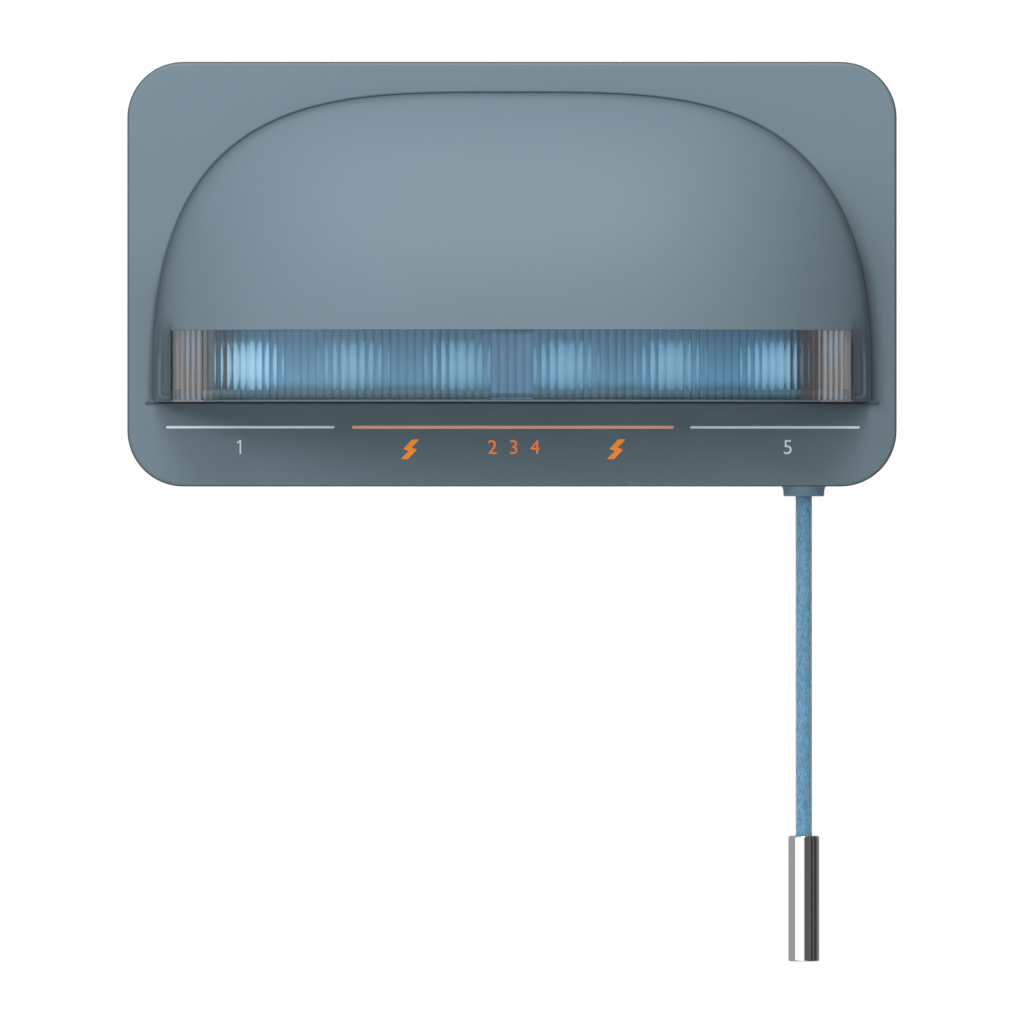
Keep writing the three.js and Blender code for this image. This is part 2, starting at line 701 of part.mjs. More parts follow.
// A domed cover with a flange behind the lining and a socket over its emitter.
function lampLens(x) {
  const back = lampBoardReach + boardThickness + gap;
  const front = back + lampFlangeHeight;
  const tip = linerReach + linerWall + lampBulge;
  const skirt = tip - lampBulge;
  const profile = [
    [0, back + lampSocketDepth],
    [lampSocketRadius, back + lampSocketDepth],
    [lampSocketRadius, back],
    [lampRadius + lampFlange, back],
    [lampRadius + lampFlange, front],
    [lampRadius, front],
  ];
  for (let step = 0; step < cornerCount; step++) {
    const turn = (step / cornerCount) * (Math.PI / 2);
    profile.push([lampRadius * Math.cos(turn), skirt + lampBulge * Math.sin(turn)]);
  }
  profile.push([0, tip]);
  return turnedOut(profile, x, lampZ, 2 * smallTurnCount);
}

// An open tray that carries both cells over the chamber.
function batteryCradle() {
  const half = cellX + cellLength / 2 + gap;
  const depth = [cradleReach, cellReach + cellRadius / 2];
  const heights = [cradleFloor, cellZ];
  const outer = block(both(half + cradleWall), depth, heights);
  const room = [cradleReach + cradleWall, cellReach + cellRadius];
  const hollows = [-1, 1].map((side) => {
    const across = [cellGap / 2 - gap, half].map((x) => side * x).sort((a, b) => a - b);
    return block(across, room, [cradleFloor + cradleWall, cellZ + overrun]);
  });
  return cut(outer, ...hollows);
}

function cell(side) {
  const tube = new THREE.CylinderGeometry(cellRadius, cellRadius, cellLength, turnCount);
  return solid(tube.rotateZ(Math.PI / 2).translate(side * cellX, -cellReach, cellZ));
}

function mainBoard() {
  const far = boardReach + boardThickness;
  const ends = [-mainBoardLeft, mainBoardRight];
  const plate = block(ends, [boardReach, far], [mainBoardZ, mainBoardZ + mainBoardHeight]);
  const middle = mainBoardZ + mainBoardHeight / 2;
  const chips = chipShares.map((share) => {
    const x = share * (mainBoardLeft + mainBoardRight) - mainBoardLeft;
    const heights = [middle - chipSide / 2, middle + chipSide / 2];
    return block([x, x + chipSide], [far - boardThickness / 2, far + chipHeight], heights);
  });
  const coilX = portX + 2 * coilSide;
  const coilDepth = [far - boardThickness / 2, far + coilHeight];
  const coil = block([coilX, coilX + coilSide], coilDepth, [middle, middle + coilSide]);
  const depth = [far - boardThickness / 2, leadReach + leadRadius];
  const sockets = [lampLeadX, batteryLeadX].map((x) =>
    leadSocket(x, depth, mainBoardZ + mainBoardHeight - socketHeight));
  const holes = boardPosts.map(({ x, z }) => rodOut(smallScrewRadius + gap, x, z, 0, far + overrun));
  return cut(join(plate, coil, ...chips, ...sockets), ...holes);
}

// A pressed metal socket, open towards the lower edge.
function chargePort() {
  const near = boardReach + boardThickness + gap;
  const low = panelFloor + wall + gap;
  const half = portWidth / 2;
  const outer = block([portX - half, portX + half], [near, near + portHeight], [low, low + portLength]);
  const hollow = block(
    [portX - half + portShell, portX + half - portShell],
    [near + portShell, near + portHeight - portShell],
    [low - overrun, low + portLength - portShell],
  );
  return cut(outer, hollow);
}

function portPlug() {
  const box = (width, height, low, high) => {
    const depth = [portReach - height / 2, portReach + height / 2];
    return block([portX - width / 2, portX + width / 2], depth, [low, high]);
  };
  const flapTop = panelFloor + flapThickness;
  return join(
    box(flapWidth, flapHeight, panelFloor, flapTop),
    box(tongueWidth, tongueHeight, flapTop - flapThickness / 2, flapTop + tongueLength),
  );
}

// A socket for a lead, on the board's near or far side.
function leadSocket(x, [near, far], low) {
  return block([x - socketHalf, x + socketHalf], [near, far], [low, low + socketHeight]);
}

// A lead between two sockets, straight up at the reach of their middles.
function lead(x, low, high) {
  const section = new THREE.Shape().absarc(0, 0, leadRadius, 0, 2 * Math.PI);
  const ends = [low, (low + high) / 2, high].map((z) => new THREE.Vector3(x, -leadReach, z));
  const path = new THREE.CatmullRomCurve3(ends);
  const options = { steps: ends.length - 1, extrudePath: path, curveSegments: leadSideCount };
  return solid(new THREE.ExtrudeGeometry(section, options));
}

const lampLead = () => lead(lampLeadX, leadFoot, lampZ - gap);
const batteryLead = () => lead(batteryLeadX, leadFoot, cradleFloor - gap);

// The collar that guides the cord through the lower edge, flared where it meets the panel.
function cordCollar() {
  const top = panelFloor - gap;
  const low = top - collarHeight;
  const neckTop = panelFloor + wall + gap + nutHeight;
  const edge = collarFlare / 2;
  return turnedUpright([
    [collarBore, low],
    [collarRadius - edge, low],
    [collarRadius, low + edge],
    [collarRadius, top - 2 * collarFlare],
    [collarRadius + collarFlare / 4, top - collarFlare],
    [collarRadius + collarFlare, top],
    [collarNeck, top],
    [collarNeck, neckTop],
    [collarBore, neckTop],
    [collarBore, low],
  ], cordX, cordReach);
}

function collarNut() {
  const low = panelFloor + wall + gap;
  return cut(
    rodUp(nutRadius, cordX, cordReach, low, low + nutHeight, turnCount),
    rodUp(collarNeck + gap, cordX, cordReach, low - overrun, low + overrun, turnCount),
  );
}

function pullCord() {
  const tube = new THREE.Shape().absarc(0, 0, cordRadius, 0, 2 * Math.PI);
  const heights = [cordTop, (cordTop + cordEnd) / 2, cordEnd];
  const path = new THREE.CatmullRomCurve3(heights.map((z) => new THREE.Vector3(cordX, -cordReach, z)));
  const options = { steps: cordStepCount, extrudePath: path, curveSegments: cordSideCount };
  return solid(new THREE.ExtrudeGeometry(tube, options));
}

// The knot's sleeve, which hangs the weight on the cord.
function cordKnot() {
  const top = cordEnd - gap;
  const edge = knotHeight / 4;
  return turnedUpright([
    [0, top - knotHeight],
    [knotRadius - edge, top - knotHeight],
    [knotRadius, top - knotHeight + edge],
    [knotRadius, top - edge],
    [knotRadius - edge, top],
    [0, top],
  ], cordX, cordReach, smallTurnCount);
}

// A polished sleeve with rounded ends, a bore for the cord and a wider bore for the knot.
function pullWeight() {
  const roof = weightTop - weightRoof;
  const low = weightEdge * (1 - Math.SQRT1_2);
  return turnedUpright([
    [plugRadius + gap, weightFloor],
    [weightRadius - weightEdge, weightFloor],
    [weightRadius - low, weightFloor + low],
    [weightRadius, weightFloor + weightEdge],
    [weightRadius, weightTop - weightEdge],
    [weightRadius - low, weightTop - low],
    [weightRadius - weightEdge, weightTop],
    [weightBore, weightTop],
    [weightBore, roof],
    [plugRadius + gap, roof],
    [plugRadius + gap, weightFloor],
  ], cordX, cordReach);
}

function weightPlug() {
  return rodUp(plugRadius, cordX, cordReach, weightFloor, weightFloor + plugHeight, turnCount);
}

// The slider that the cord pulls down; its left side is a ramp that pushes the plunger.
function pullSlider() {
  const left = cordX - sliderHalfWidth;
  const rampTop = plungerZ + pullTravel;
  const rampIn = rampShare * (rampTop - sliderBase);
  const outline = new THREE.Shape([
    new THREE.Vector2(left + rampIn, sliderBase),
    new THREE.Vector2(cordX + sliderHalfWidth, sliderBase),
    new THREE.Vector2(cordX + sliderHalfWidth, sliderBase + sliderHeight),
    new THREE.Vector2(left, sliderBase + sliderHeight),
    new THREE.Vector2(left, rampTop),
  ]);
  const body = carriedOut(outline, cordReach - sliderHalfDepth, cordReach + sliderHalfDepth);
  const bore = rodUp(cordRadius + gap, cordX, cordReach, sliderBase - overrun, sliderBase + sliderBoreDepth);
  return cut(body, bore);
}

// A coil spring of round wire, wound at a steady pitch, with its wire ends closed.
function returnSpring() {
  const sides = springSideCount;
  const steps = springTurnCount * springStepCount;
  const climb = springHeight - 2 * springWire;
  const radius = springRadius - springWire;
  const points = [];
  for (let step = 0; step <= steps; step++) {
    const turn = (step / steps) * springTurnCount * 2 * Math.PI;
    for (let side = 0; side < sides; side++) {
      const around = (side / sides) * 2 * Math.PI;
      const out = radius + springWire * Math.cos(around);
      const z = springBase + springWire + (step / steps) * climb + springWire * Math.sin(around);
      points.push(new THREE.Vector3(cordX + out * Math.cos(turn), -cordReach + out * Math.sin(turn), z));
    }
  }
  const faces = [];
  for (let step = 0; step < steps; step++) {
    for (let side = 0; side < sides; side++) {
      const here = step * sides + side;
      const next = step * sides + ((side + 1) % sides);
      faces.push(here, here + sides, next, next, here + sides, next + sides);
    }
  }
  const last = steps * sides;
  for (let side = 1; side < sides - 1; side++) {
    faces.push(0, side, side + 1, last, last + side + 1, last + side);
  }
  const geometry = new THREE.BufferGeometry().setFromPoints(points);
  geometry.setIndex(faces);
  return solid(geometry);
}

// A frame round the slider, open to the front, with a floor under the spring.
function switchHousing() {
  const innerHalf = switchHalf - housingWall;
  const top = sliderBase + sliderHeight + gap;
  const depth = [cordReach - sliderHalfDepth, cordReach + sliderHalfDepth];
  const outer = block(
    [cordX - switchHalf, cordX + switchHalf],
    depth,
    [housingBase, top + housingFloor],
  );
  const room = block(
    [cordX - innerHalf, cordX + innerHalf],
    [depth[0] - overrun, depth[1] + overrun],
    [housingBase + housingFloor, top],
  );
  const floorTop = housingBase + housingFloor + gap;
  const cordHole = rodUp(collarBore + gap, cordX, cordReach, housingBase - overrun, floorTop);
  const plungerHole = sideRod(plungerRadius + gap, cordX - switchHalf - overrun, cordX);
  return cut(outer, room, cordHole, plungerHole);
}

// A rod along X at the plunger's height.
function sideRod(radius, left, right) {
  const rod = new THREE.CylinderGeometry(radius, radius, right - left, smallTurnCount);
  return solid(rod.rotateZ(Math.PI / 2).translate((left + right) / 2, -plungerReach, plungerZ));
}

function microSwitch() {
  const right = cordX - switchHalf - gap;
  const near = boardReach + boardThickness + gap;
  const low = plungerZ - switchHeight / 2;
  const body = block([right - switchWidth, right], [near, near + switchDepth], [low, low + switchHeight]);
  const boreEnd = plungerTip - plungerLength - rampShare * pullTravel - gap;
  const bore = sideRod(plungerRadius + gap, boreEnd, right + overrun);
  return cut(body, bore);
}

function switchPlunger() {
  return sideRod(plungerRadius, plungerTip - plungerLength, plungerTip);
}

// A screw driven away from the wall: its head sits at the near end.
function screwOut(x, z, headBack, length, radius, headRadius, headHeight) {
  const headFront = headBack + headHeight;
  return turnedOut([
    [0, headBack],
    [headRadius, headBack],
    [headRadius, headFront],
    [radius, headFront],
    [radius, headFront + length],
    [0, headFront + length],
  ], x, z, smallTurnCount);
}

function caseScrew({ x, z, reach }) {
  const length = reach + screwBite - rearGap - screwHeadHeight - 3 * gap;
  return screwOut(x, z, rearGap, length, screwRadius, screwHeadRadius, screwHeadHeight);
}

function trayScrew(side) {
  const headTop = hoodFloor + smallHeadHeight;
  const tip = trayTop + screwBite - gap;
  return turnedUpright([
    [0, hoodFloor],
    [smallHeadRadius, hoodFloor],
    [smallHeadRadius, headTop],
    [smallScrewRadius, headTop],
    [smallScrewRadius, tip],
    [0, tip],
  ], side * trayScrewX, trayScrewReach, smallTurnCount);
}

function lampBoardScrew(x) {
  const headBack = lampBoardReach - gap - smallHeadHeight;
  const length = linerReach + linerWall - gap - lampBoardReach;
  return screwOut(x, lampScrewZ, headBack, length, smallScrewRadius, smallHeadRadius, smallHeadHeight);
}

function mainBoardScrew({ x, z }) {
  const headBack = boardReach - gap - smallHeadHeight;
  const length = faceInner - 2 * gap - boardReach;
  return screwOut(x, z, headBack, length, smallScrewRadius, smallHeadRadius, smallHeadHeight);
}

const wallMount = new THREE.Group();
wallMount.add(
  named("adhesive_pad", adhesivePad(), foamFinish),
  named("wall_plate", wallPlate(), darkFinish),
);

const casing = new THREE.Group();
casing.add(
  named("rear_cover", rearCover(), shellFinish),
  named("face_panel", facePanel(), shellFinish),
  named("hood_shell", hoodShell(), shellFinish),
  named("brush_tray", brushTray(), shellFinish),
  named("window_lens", windowLens(), glassFinish),
  named("window_post", windowPost(), linerFinish),
  named("window_clamp_left", windowClamp(-1), bracketFinish),
  named("window_clamp_right", windowClamp(1), bracketFinish),
);

const chamber = new THREE.Group();
chamber.add(
  named("chamber_liner", chamberLiner(), linerFinish),
  named("lamp_board", lampBoard(), boardFinish),
);
lamps.forEach((x, i) => chamber.add(
  named(`uv_emitter_${i + 1}`, uvEmitter(x), whiteFinish),
  named(`lamp_lens_${i + 1}`, lampLens(x), lampFinish),
));

const electronics = new THREE.Group();
electronics.add(
  named("main_board", mainBoard(), boardFinish),
  named("charge_port", chargePort(), steelFinish),
  named("battery_cradle", batteryCradle(), darkFinish),
  named("battery_cell_left", cell(-1), cellFinish),
  named("battery_cell_right", cell(1), cellFinish),
  named("lamp_lead", lampLead(), darkFinish),
  named("battery_lead", batteryLead(), darkFinish),
  named("port_plug", portPlug(), rubberFinish),
);

const pull = new THREE.Group();
pull.add(
  named("cord_collar", cordCollar(), shellFinish),
  named("collar_nut", collarNut(), whiteFinish),
  named("switch_housing", switchHousing(), whiteFinish),
  named("pull_slider", pullSlider(), whiteFinish),
  named("return_spring", returnSpring(), steelFinish),
  named("micro_switch", microSwitch(), darkFinish),
  named("switch_plunger", switchPlunger(), whiteFinish),
  named("pull_cord", pullCord(), cordFinish),
  named("cord_knot", cordKnot(), darkFinish),
  named("pull_weight", pullWeight(), steelFinish),
  named("weight_plug", weightPlug(), steelFinish),
);

const fixings = new THREE.Group();
[...cornerBosses, ...hoodBosses].forEach((boss, i) =>
  fixings.add(named(`case_screw_${i + 1}`, caseScrew(boss), steelFinish)));
[-1, 1].forEach((side, i) => fixings.add(
  named(`tray_screw_${i + 1}`, trayScrew(side), steelFinish),
  named(`lamp_board_screw_${i + 1}`, lampBoardScrew(side * lampScrewX), steelFinish),
  named(`main_board_screw_${i + 1}`, mainBoardScrew(boardPosts[i]), steelFinish),
));

const sterilizer = new THREE.Group();
sterilizer.add(wallMount, casing, chamber, electronics, pull, fixings);

export default sterilizer;
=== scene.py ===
"""Dresses the wall-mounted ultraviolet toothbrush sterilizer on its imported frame.

Sizes are in millimetres until a mesh is made, X runs to the right and Z up. "Reach" is the
distance of a point from the wall, so a reach of r lies at Y = -r.
"""

import logging
import math
from collections.abc import Callable, Sequence
from dataclasses import dataclass
from enum import Enum

import bmesh
import bpy
import numpy as np
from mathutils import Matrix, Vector
from numpy.typing import NDArray


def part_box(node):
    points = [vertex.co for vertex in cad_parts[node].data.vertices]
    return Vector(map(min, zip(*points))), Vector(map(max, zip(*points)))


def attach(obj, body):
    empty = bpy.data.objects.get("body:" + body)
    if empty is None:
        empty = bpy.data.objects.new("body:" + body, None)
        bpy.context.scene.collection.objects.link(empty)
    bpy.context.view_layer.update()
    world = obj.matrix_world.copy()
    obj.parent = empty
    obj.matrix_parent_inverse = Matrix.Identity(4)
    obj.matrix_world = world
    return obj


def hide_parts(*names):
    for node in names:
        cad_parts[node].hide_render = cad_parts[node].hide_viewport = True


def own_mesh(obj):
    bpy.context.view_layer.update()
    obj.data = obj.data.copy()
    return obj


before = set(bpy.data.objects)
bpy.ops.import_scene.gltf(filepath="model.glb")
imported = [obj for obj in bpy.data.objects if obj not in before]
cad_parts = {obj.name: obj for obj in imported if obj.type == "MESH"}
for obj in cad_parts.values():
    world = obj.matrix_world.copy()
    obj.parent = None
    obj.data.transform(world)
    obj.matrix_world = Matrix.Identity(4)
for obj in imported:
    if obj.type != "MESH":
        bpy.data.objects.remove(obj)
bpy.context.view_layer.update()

LOG = logging.getLogger("sterilizer")
MM = 0.001
Points = NDArray[np.float64]
Flags = NDArray[np.bool_]
Colour = tuple[float, float, float]
Span = tuple[float, float]
Bar = tuple[float, float, float, float]
Piece = bpy.types.Object
Node = bpy.types.Node
Socket = bpy.types.NodeSocket


class Body(Enum):
    """The rigid bodies that the pieces ride on."""

    WALL = "wall_mount"
    UNIT = "unit"
    PULL = "pull"
    FLAP = "plug_flap"


class Slot(Enum):
    """The record's material slots, one for each kind of new piece."""

    SHELL = "shell"
    WINDOW = "window"
    BRACKET = "bracket"
    DOME = "lamp_dome"
    BLACK = "black_plastic"
    WHITE = "white_plastic"
    RUBBER = "plug_rubber"
    FOAM = "foam"
    BRAID = "braid"
    STEEL = "steel"
    POLISHED = "polished"


class Lay(Enum):
    """How a flat outline lies: upright like the wall, or level like a shelf."""

    UPRIGHT = "upright"
    LEVEL = "level"


# Surfaces

SINE_FIRST, SINE_SECOND, SINE_SIZE = 12.9898, 78.233, 43758.5453
# In metres: closer points of a mesh are made one, and shorter edges are dissolved.
SAME_PLACE, NO_LENGTH = 2e-7, 1e-8
# In millimetres: closer points of a profile are made one, and no length is divided by less.
LEAST_GAP, LEAST_LENGTH = 1e-6, 1e-9
# How far before and after its round a corner has one more point, as a share of its cut.
LEAD_SHARE = 0.1


def at(x: Points | float, reach: Points | float, z: Points | float) -> Points:
    """Gather places in millimetres as points in metres, with X, Y = -reach and Z on the last axis."""
    return np.stack(np.broadcast_arrays(x, -np.asarray(reach, float), z), axis=-1) * MM


def hump(distance: Points, width: float | Points) -> Points:
    """A bell curve: exp(-(distance / width)^2)."""
    return np.exp(-((distance / width) ** 2))


def risen(value: Points, start: float, span: float) -> Points:
    """How far a value has come from a start, as a share of a span from 0 to 1; a negative span falls."""
    return np.clip((value - start) / span, 0, 1)


def within(value: Points, span: Span, soft: float) -> Points:
    """Whether a value lies within a span: 1 inside it and 0 outside, eased over a soft width."""
    return risen(value, span[0], soft) * risen(value, span[1], -soft)


def scattered(first: Points, second: Points | float = 0.0) -> Points:
    """A steady number from 0 to 1 for one or two whole numbers: the fraction of a large sine of them."""
    return np.modf(np.abs(np.sin(first * SINE_FIRST + second * SINE_SECOND)) * SINE_SIZE)[0]


def grid_quads(rows: int, columns: int, wrap_rows: bool, wrap_columns: bool) -> NDArray[np.int64]:
    """Number the four corners of every cell of a grid of points.

    Args:
        rows: Points down the grid.
        columns: Points along the grid.
        wrap_rows: Whether the last row joins the first.
        wrap_columns: Whether the last column joins the first.

    Returns:
        An array of quads, four point numbers each.
    """
    down = np.arange(rows if wrap_rows else rows - 1)[:, None]
    along = np.arange(columns if wrap_columns else columns - 1)[None, :]
    next_down, next_along = (down + 1) % rows, (along + 1) % columns
    corners = (
        down * columns + along,
        down * columns + next_along,
        next_down * columns + next_along,
        next_down * columns + along,
    )
    return np.stack(np.broadcast_arrays(*corners), axis=-1).reshape(-1, 4)


def linked(name: str, mesh: bpy.types.Mesh) -> Piece:
    """Put a mesh into the scene as a piece at the origin.

    Args:
        name: The piece's name.
        mesh: Its mesh.

    Returns:
        The piece.
    """
    piece = bpy.data.objects.new(name, mesh)
    bpy.context.scene.collection.objects.link(piece)
    return piece


def tidied(mesh: bpy.types.Mesh, sharp: float = 32.0) -> bpy.types.Mesh:
    """Weld a mesh, close its holes, turn its faces outwards and set which edges are sharp.

    Args:
        mesh: The mesh to tidy.
        sharp: The angle in degrees past which an edge is drawn sharp.

    Returns:
        The same mesh.
    """
    work = bmesh.new()
    work.from_mesh(mesh)
    bmesh.ops.remove_doubles(work, verts=work.verts, dist=SAME_PLACE)
    bmesh.ops.dissolve_degenerate(work, edges=work.edges, dist=NO_LENGTH)
    rims = [edge for edge in work.edges if edge.is_boundary]
    if rims:
        bmesh.ops.holes_fill(work, edges=rims)
    bmesh.ops.recalc_face_normals(work, faces=work.faces)
    work.to_mesh(mesh)
    work.free()
    mesh.shade_smooth()
    mesh.set_sharp_from_angle(angle=math.radians(sharp))
    return mesh


def swept(name: str, rows: Points, wrap_rows: bool = False, wrap_columns: bool = False,
          sharp: float = 32.0, values: dict[str, Points] | None = None) -> Piece:
    """Skin a grid of points, given as rows x columns x 3 in metres, and close its ends.

    Args:
        name: The piece's name.
        rows: The grid.
        wrap_rows: Whether the last row joins the first.
        wrap_columns: Whether the last column joins the first.
        sharp: The angle in degrees past which an edge is drawn sharp.
        values: Named values at the grid's points, for the finishes.

    Returns:
        The piece.
    """
    quads = grid_quads(rows.shape[0], rows.shape[1], wrap_rows, wrap_columns)
    mesh = bpy.data.meshes.new(name)
    mesh.vertices.add(rows.size // 3)
    mesh.vertices.foreach_set("co", rows.astype(np.float32).ravel())
    mesh.loops.add(quads.size)
    mesh.loops.foreach_set("vertex_index", quads.astype(np.int32).ravel())
    mesh.polygons.add(len(quads))
    mesh.polygons.foreach_set("loop_start", np.arange(0, quads.size, 4, dtype=np.int32))
    mesh.update(calc_edges=True)
    for label, value in (values or {}).items():
        layer = mesh.attributes.new(label, "FLOAT", "POINT")
        layer.data.foreach_set("value", value.astype(np.float32).ravel())
    return linked(name, tidied(mesh, sharp))


def settled(holder: Piece) -> bpy.types.Mesh:
    """Read the mesh that an object makes once its curve or its modifiers are worked out."""
    bpy.context.view_layer.update()
    return bpy.data.meshes.new_from_object(holder.evaluated_get(bpy.context.evaluated_depsgraph_get()))


def drawn(name: str, curve: bpy.types.Curve) -> tuple[bpy.types.Mesh, Points]:
    """Turn a flat curve or a text into a mesh.

    Args:
        name: The name of the piece that it becomes.
        curve: The curve or text.

    Returns:
        The mesh, and its points as rows of three.
    """
    holder = bpy.data.objects.new(name, curve)
    bpy.context.scene.collection.objects.link(holder)
    mesh = settled(holder)
    bpy.data.objects.remove(holder)
    mesh.materials.clear()
    flat = np.empty(len(mesh.vertices) * 3, np.float32)
    mesh.vertices.foreach_get("co", flat)
    return mesh, flat.reshape(-1, 3).astype(float)


def moved(name: str, mesh: bpy.types.Mesh, points: Points) -> Piece:
    """Give a mesh new places for its points, tidy it and make it a piece.

    Args:
        name: The piece's name.
        mesh: The mesh.
        points: Where its points go, in metres.

    Returns:
        The piece.
    """
    mesh.vertices.foreach_set("co", points.astype(np.float32).ravel())
    return linked(name, tidied(mesh))


def eased(corners: Sequence[Sequence[float]], cut: float | Sequence[float], closed: bool = True,
          steps: int = 5) -> Points:
    """Round each corner of a profile with a parabola that starts and ends a cut's length from it.

    With A and B the points at that distance on both sides of the corner C, the curve is
    (1 - t)^2 A + 2 t (1 - t) C + t^2 B. A point a tenth of the cut further out on both sides
    keeps the straight stretches straight in the light.

    Args:
        corners: The profile's corners.
        cut: The length that each corner gives up on both sides, or one for each corner.
        closed: Whether the profile closes on itself; an open one keeps its two ends.
        steps: Spans in each rounded corner.

    Returns:
        The rounded profile, two numbers a row.
    """
    points = np.asarray(corners, float)
    cuts = np.broadcast_to(np.asarray(cut, float), len(points)).copy()
    if not closed:
        cuts[[0, -1]] = 0
    back = np.roll(points, 1, axis=0) - points
    ahead = np.roll(points, -1, axis=0) - points
    back /= np.maximum(np.linalg.norm(back, axis=1, keepdims=True), LEAST_LENGTH)
    ahead /= np.maximum(np.linalg.norm(ahead, axis=1, keepdims=True), LEAST_LENGTH)
    first, last = points + back * cuts[:, None], points + ahead * cuts[:, None]
    t = np.linspace(0, 1, steps + 1)[None, :, None]
    arcs = (1 - t) ** 2 * first[:, None] + 2 * t * (1 - t) * points[:, None] + t**2 * last[:, None]
    before = first + back * cuts[:, None] * LEAD_SHARE
    after = last + ahead * cuts[:, None] * LEAD_SHARE
    flat = np.concatenate([before[:, None], arcs, after[:, None]], axis=1).reshape(-1, 2)
    fresh = np.r_[True, np.linalg.norm(np.diff(flat, axis=0), axis=1) > LEAST_GAP]
    return flat[fresh]


def even(line: Points, count: int) -> Points:
    """Lay points at equal steps along a line, by straight interpolation over its length.

    Args:
        line: The line's points.
        count: Spans wanted.

    Returns:
        The new points.
    """
    length = np.r_[0, np.cumsum(np.linalg.norm(np.diff(line, axis=0), axis=1))]
    steps = np.linspace(0, length[-1], count + 1)
    return np.c_[tuple(np.interp(steps, length, column) for column in line.T)]


def turned(name: str, profile: Points, centre: tuple[float, float], count: int = 96, closed: bool = True,
           outwards: bool = False, sharp: float = 32.0) -> Piece:
    """Turn a profile about an upright axis, or about one that leaves the wall.

    Each profile point (radius, height) becomes a ring of radius * (cos a, sin a) at its height.

    Args:
        name: The piece's name.
        profile: Rows of radius and height, or of radius and reach.
        centre: The axis's X and reach, or its X and Z when it leaves the wall.
        count: Points round the axis.
        closed: Whether the profile closes on itself.
        outwards: Whether the axis leaves the wall.
        sharp: The angle in degrees past which an edge is drawn sharp.

    Returns:
        The piece.
    """
    around = np.linspace(0, 2 * np.pi, count, endpoint=False)
    side = profile[:, :1] * np.cos(around)[None, :] + centre[0]
    other = profile[:, :1] * np.sin(around)[None, :] + centre[1]
    along = np.broadcast_to(profile[:, 1:], side.shape)
    rows = at(side, along, other) if outwards else at(side, other, along)
    return swept(name, rows, wrap_rows=closed, wrap_columns=True, sharp=sharp)


def corner_turns(steps: int) -> tuple[Points, Points, Points]:
    """Lay out four quarter circles, one for each corner of a box.

    Args:
        steps: Spans in each quarter.

    Returns:
        The turns, and the side that each lies on, across and along.
    """
    quarter = np.linspace(0, np.pi / 2, steps + 1)
    turn = np.concatenate([quarter + k * np.pi / 2 for k in range(4)])
    return turn, np.repeat([1, -1, -1, 1], steps + 1), np.repeat([1, 1, -1, -1], steps + 1)


def rounded_block(name: str, across: tuple[float, float], deep: tuple[float, float],
                  tall: tuple[float, float], edge: float, steps: int = 4) -> Piece:
    """A block whose edges and corners are parts of one small ball.

    Each point is the middle of its corner plus the edge's radius times a direction on a sphere.

    Args:
        name: The piece's name.
        across: Its lowest and highest X.
        deep: Its lowest and highest reach.
        tall: Its lowest and highest Z.
        edge: The radius of its edges.
        steps: Spans in each quarter turn.

    Returns:
        The piece.
    """
    lows, highs = np.array([across, deep, tall], float).T
    middle, half = (lows + highs) / 2, (highs - lows) / 2 - edge
    turn, side_x, side_y = corner_turns(steps)
    quarter = turn[:steps + 1]
    rise = np.concatenate([quarter - np.pi / 2, quarter])
    side_z = np.repeat([-1, 1], steps + 1)
    x = middle[0] + side_x[None, :] * half[0] + edge * np.cos(rise)[:, None] * np.cos(turn)[None, :]
    reach = middle[1] + side_y[None, :] * half[1] + edge * np.cos(rise)[:, None] * np.sin(turn)[None, :]
    z = middle[2] + side_z[:, None] * half[2] + edge * np.sin(rise)[:, None] * np.ones_like(turn)[None, :]
    return swept(name, at(x, reach, z), wrap_columns=True, sharp=40)


def rounded_box(half_x: float, half_y: float, corner: float, middle: tuple[float, float] = (0, 0),
                steps: int = 16) -> Points:
    """A rectangle whose four corners are quarter circles.

    Args:
        half_x: Half its width.
        half_y: Half its height.
        corner: The radius of its corners.
        middle: Its middle.
        steps: Spans in each corner.

    Returns:
        Its outline, counterclockwise.
    """
    turn, side_x, side_y = corner_turns(steps)
    x = middle[0] + side_x * (half_x - corner) + corner * np.cos(turn)
    y = middle[1] + side_y * (half_y - corner) + corner * np.sin(turn)
    return np.c_[x, y]


def circle(x: float, y: float, radius: float, count: int = 48) -> Points:
    """A ring of points round a middle, radius * (cos a, sin a)."""
    turn = np.linspace(0, 2 * np.pi, count, endpoint=False)
    return np.c_[x + radius * np.cos(turn), y + radius * np.sin(turn)]


def plate(name: str, outline: Points, holes: Sequence[Points], low: float, high: float, edge: float,
          lay: Lay = Lay.UPRIGHT, fine: int = 2) -> Piece:
    """A flat sheet with holes and rounded edges, upright or level.

    Args:
        name: The piece's name.
        outline: Its outline, counterclockwise.
        holes: The outlines of its holes, counterclockwise too.
        low: The near reach of an upright sheet, or the lower Z of a level one.
        high: The far reach or the upper Z.
        edge: The radius of its edges.
        lay: Whether the outline is in X and Z or in X and reach.
        fine: Spans in a rounded edge.

    Returns:
        The piece.
    """
    curve = bpy.data.curves.new(name, "CURVE")
    curve.dimensions, curve.fill_mode = "2D", "BOTH"
    for loop in (outline, *(hole[::-1] for hole in holes)):
        spline = curve.splines.new("POLY")
        spline.points.add(len(loop) - 1)
        flat = np.c_[loop * MM, np.zeros(len(loop)), np.ones(len(loop))]
        spline.points.foreach_set("co", flat.astype(np.float32).ravel())
        spline.use_cyclic_u = True
    curve.extrude = ((high - low) / 2 - edge) * MM
    curve.bevel_depth, curve.bevel_resolution, curve.offset = edge * MM, fine, -edge * MM
    mesh, points = drawn(name, curve)
    u, v, w = points.T / MM
    w = w + (low + high) / 2
    return moved(name, mesh, at(u, w, v) if lay is Lay.UPRIGHT else at(u, v, w))


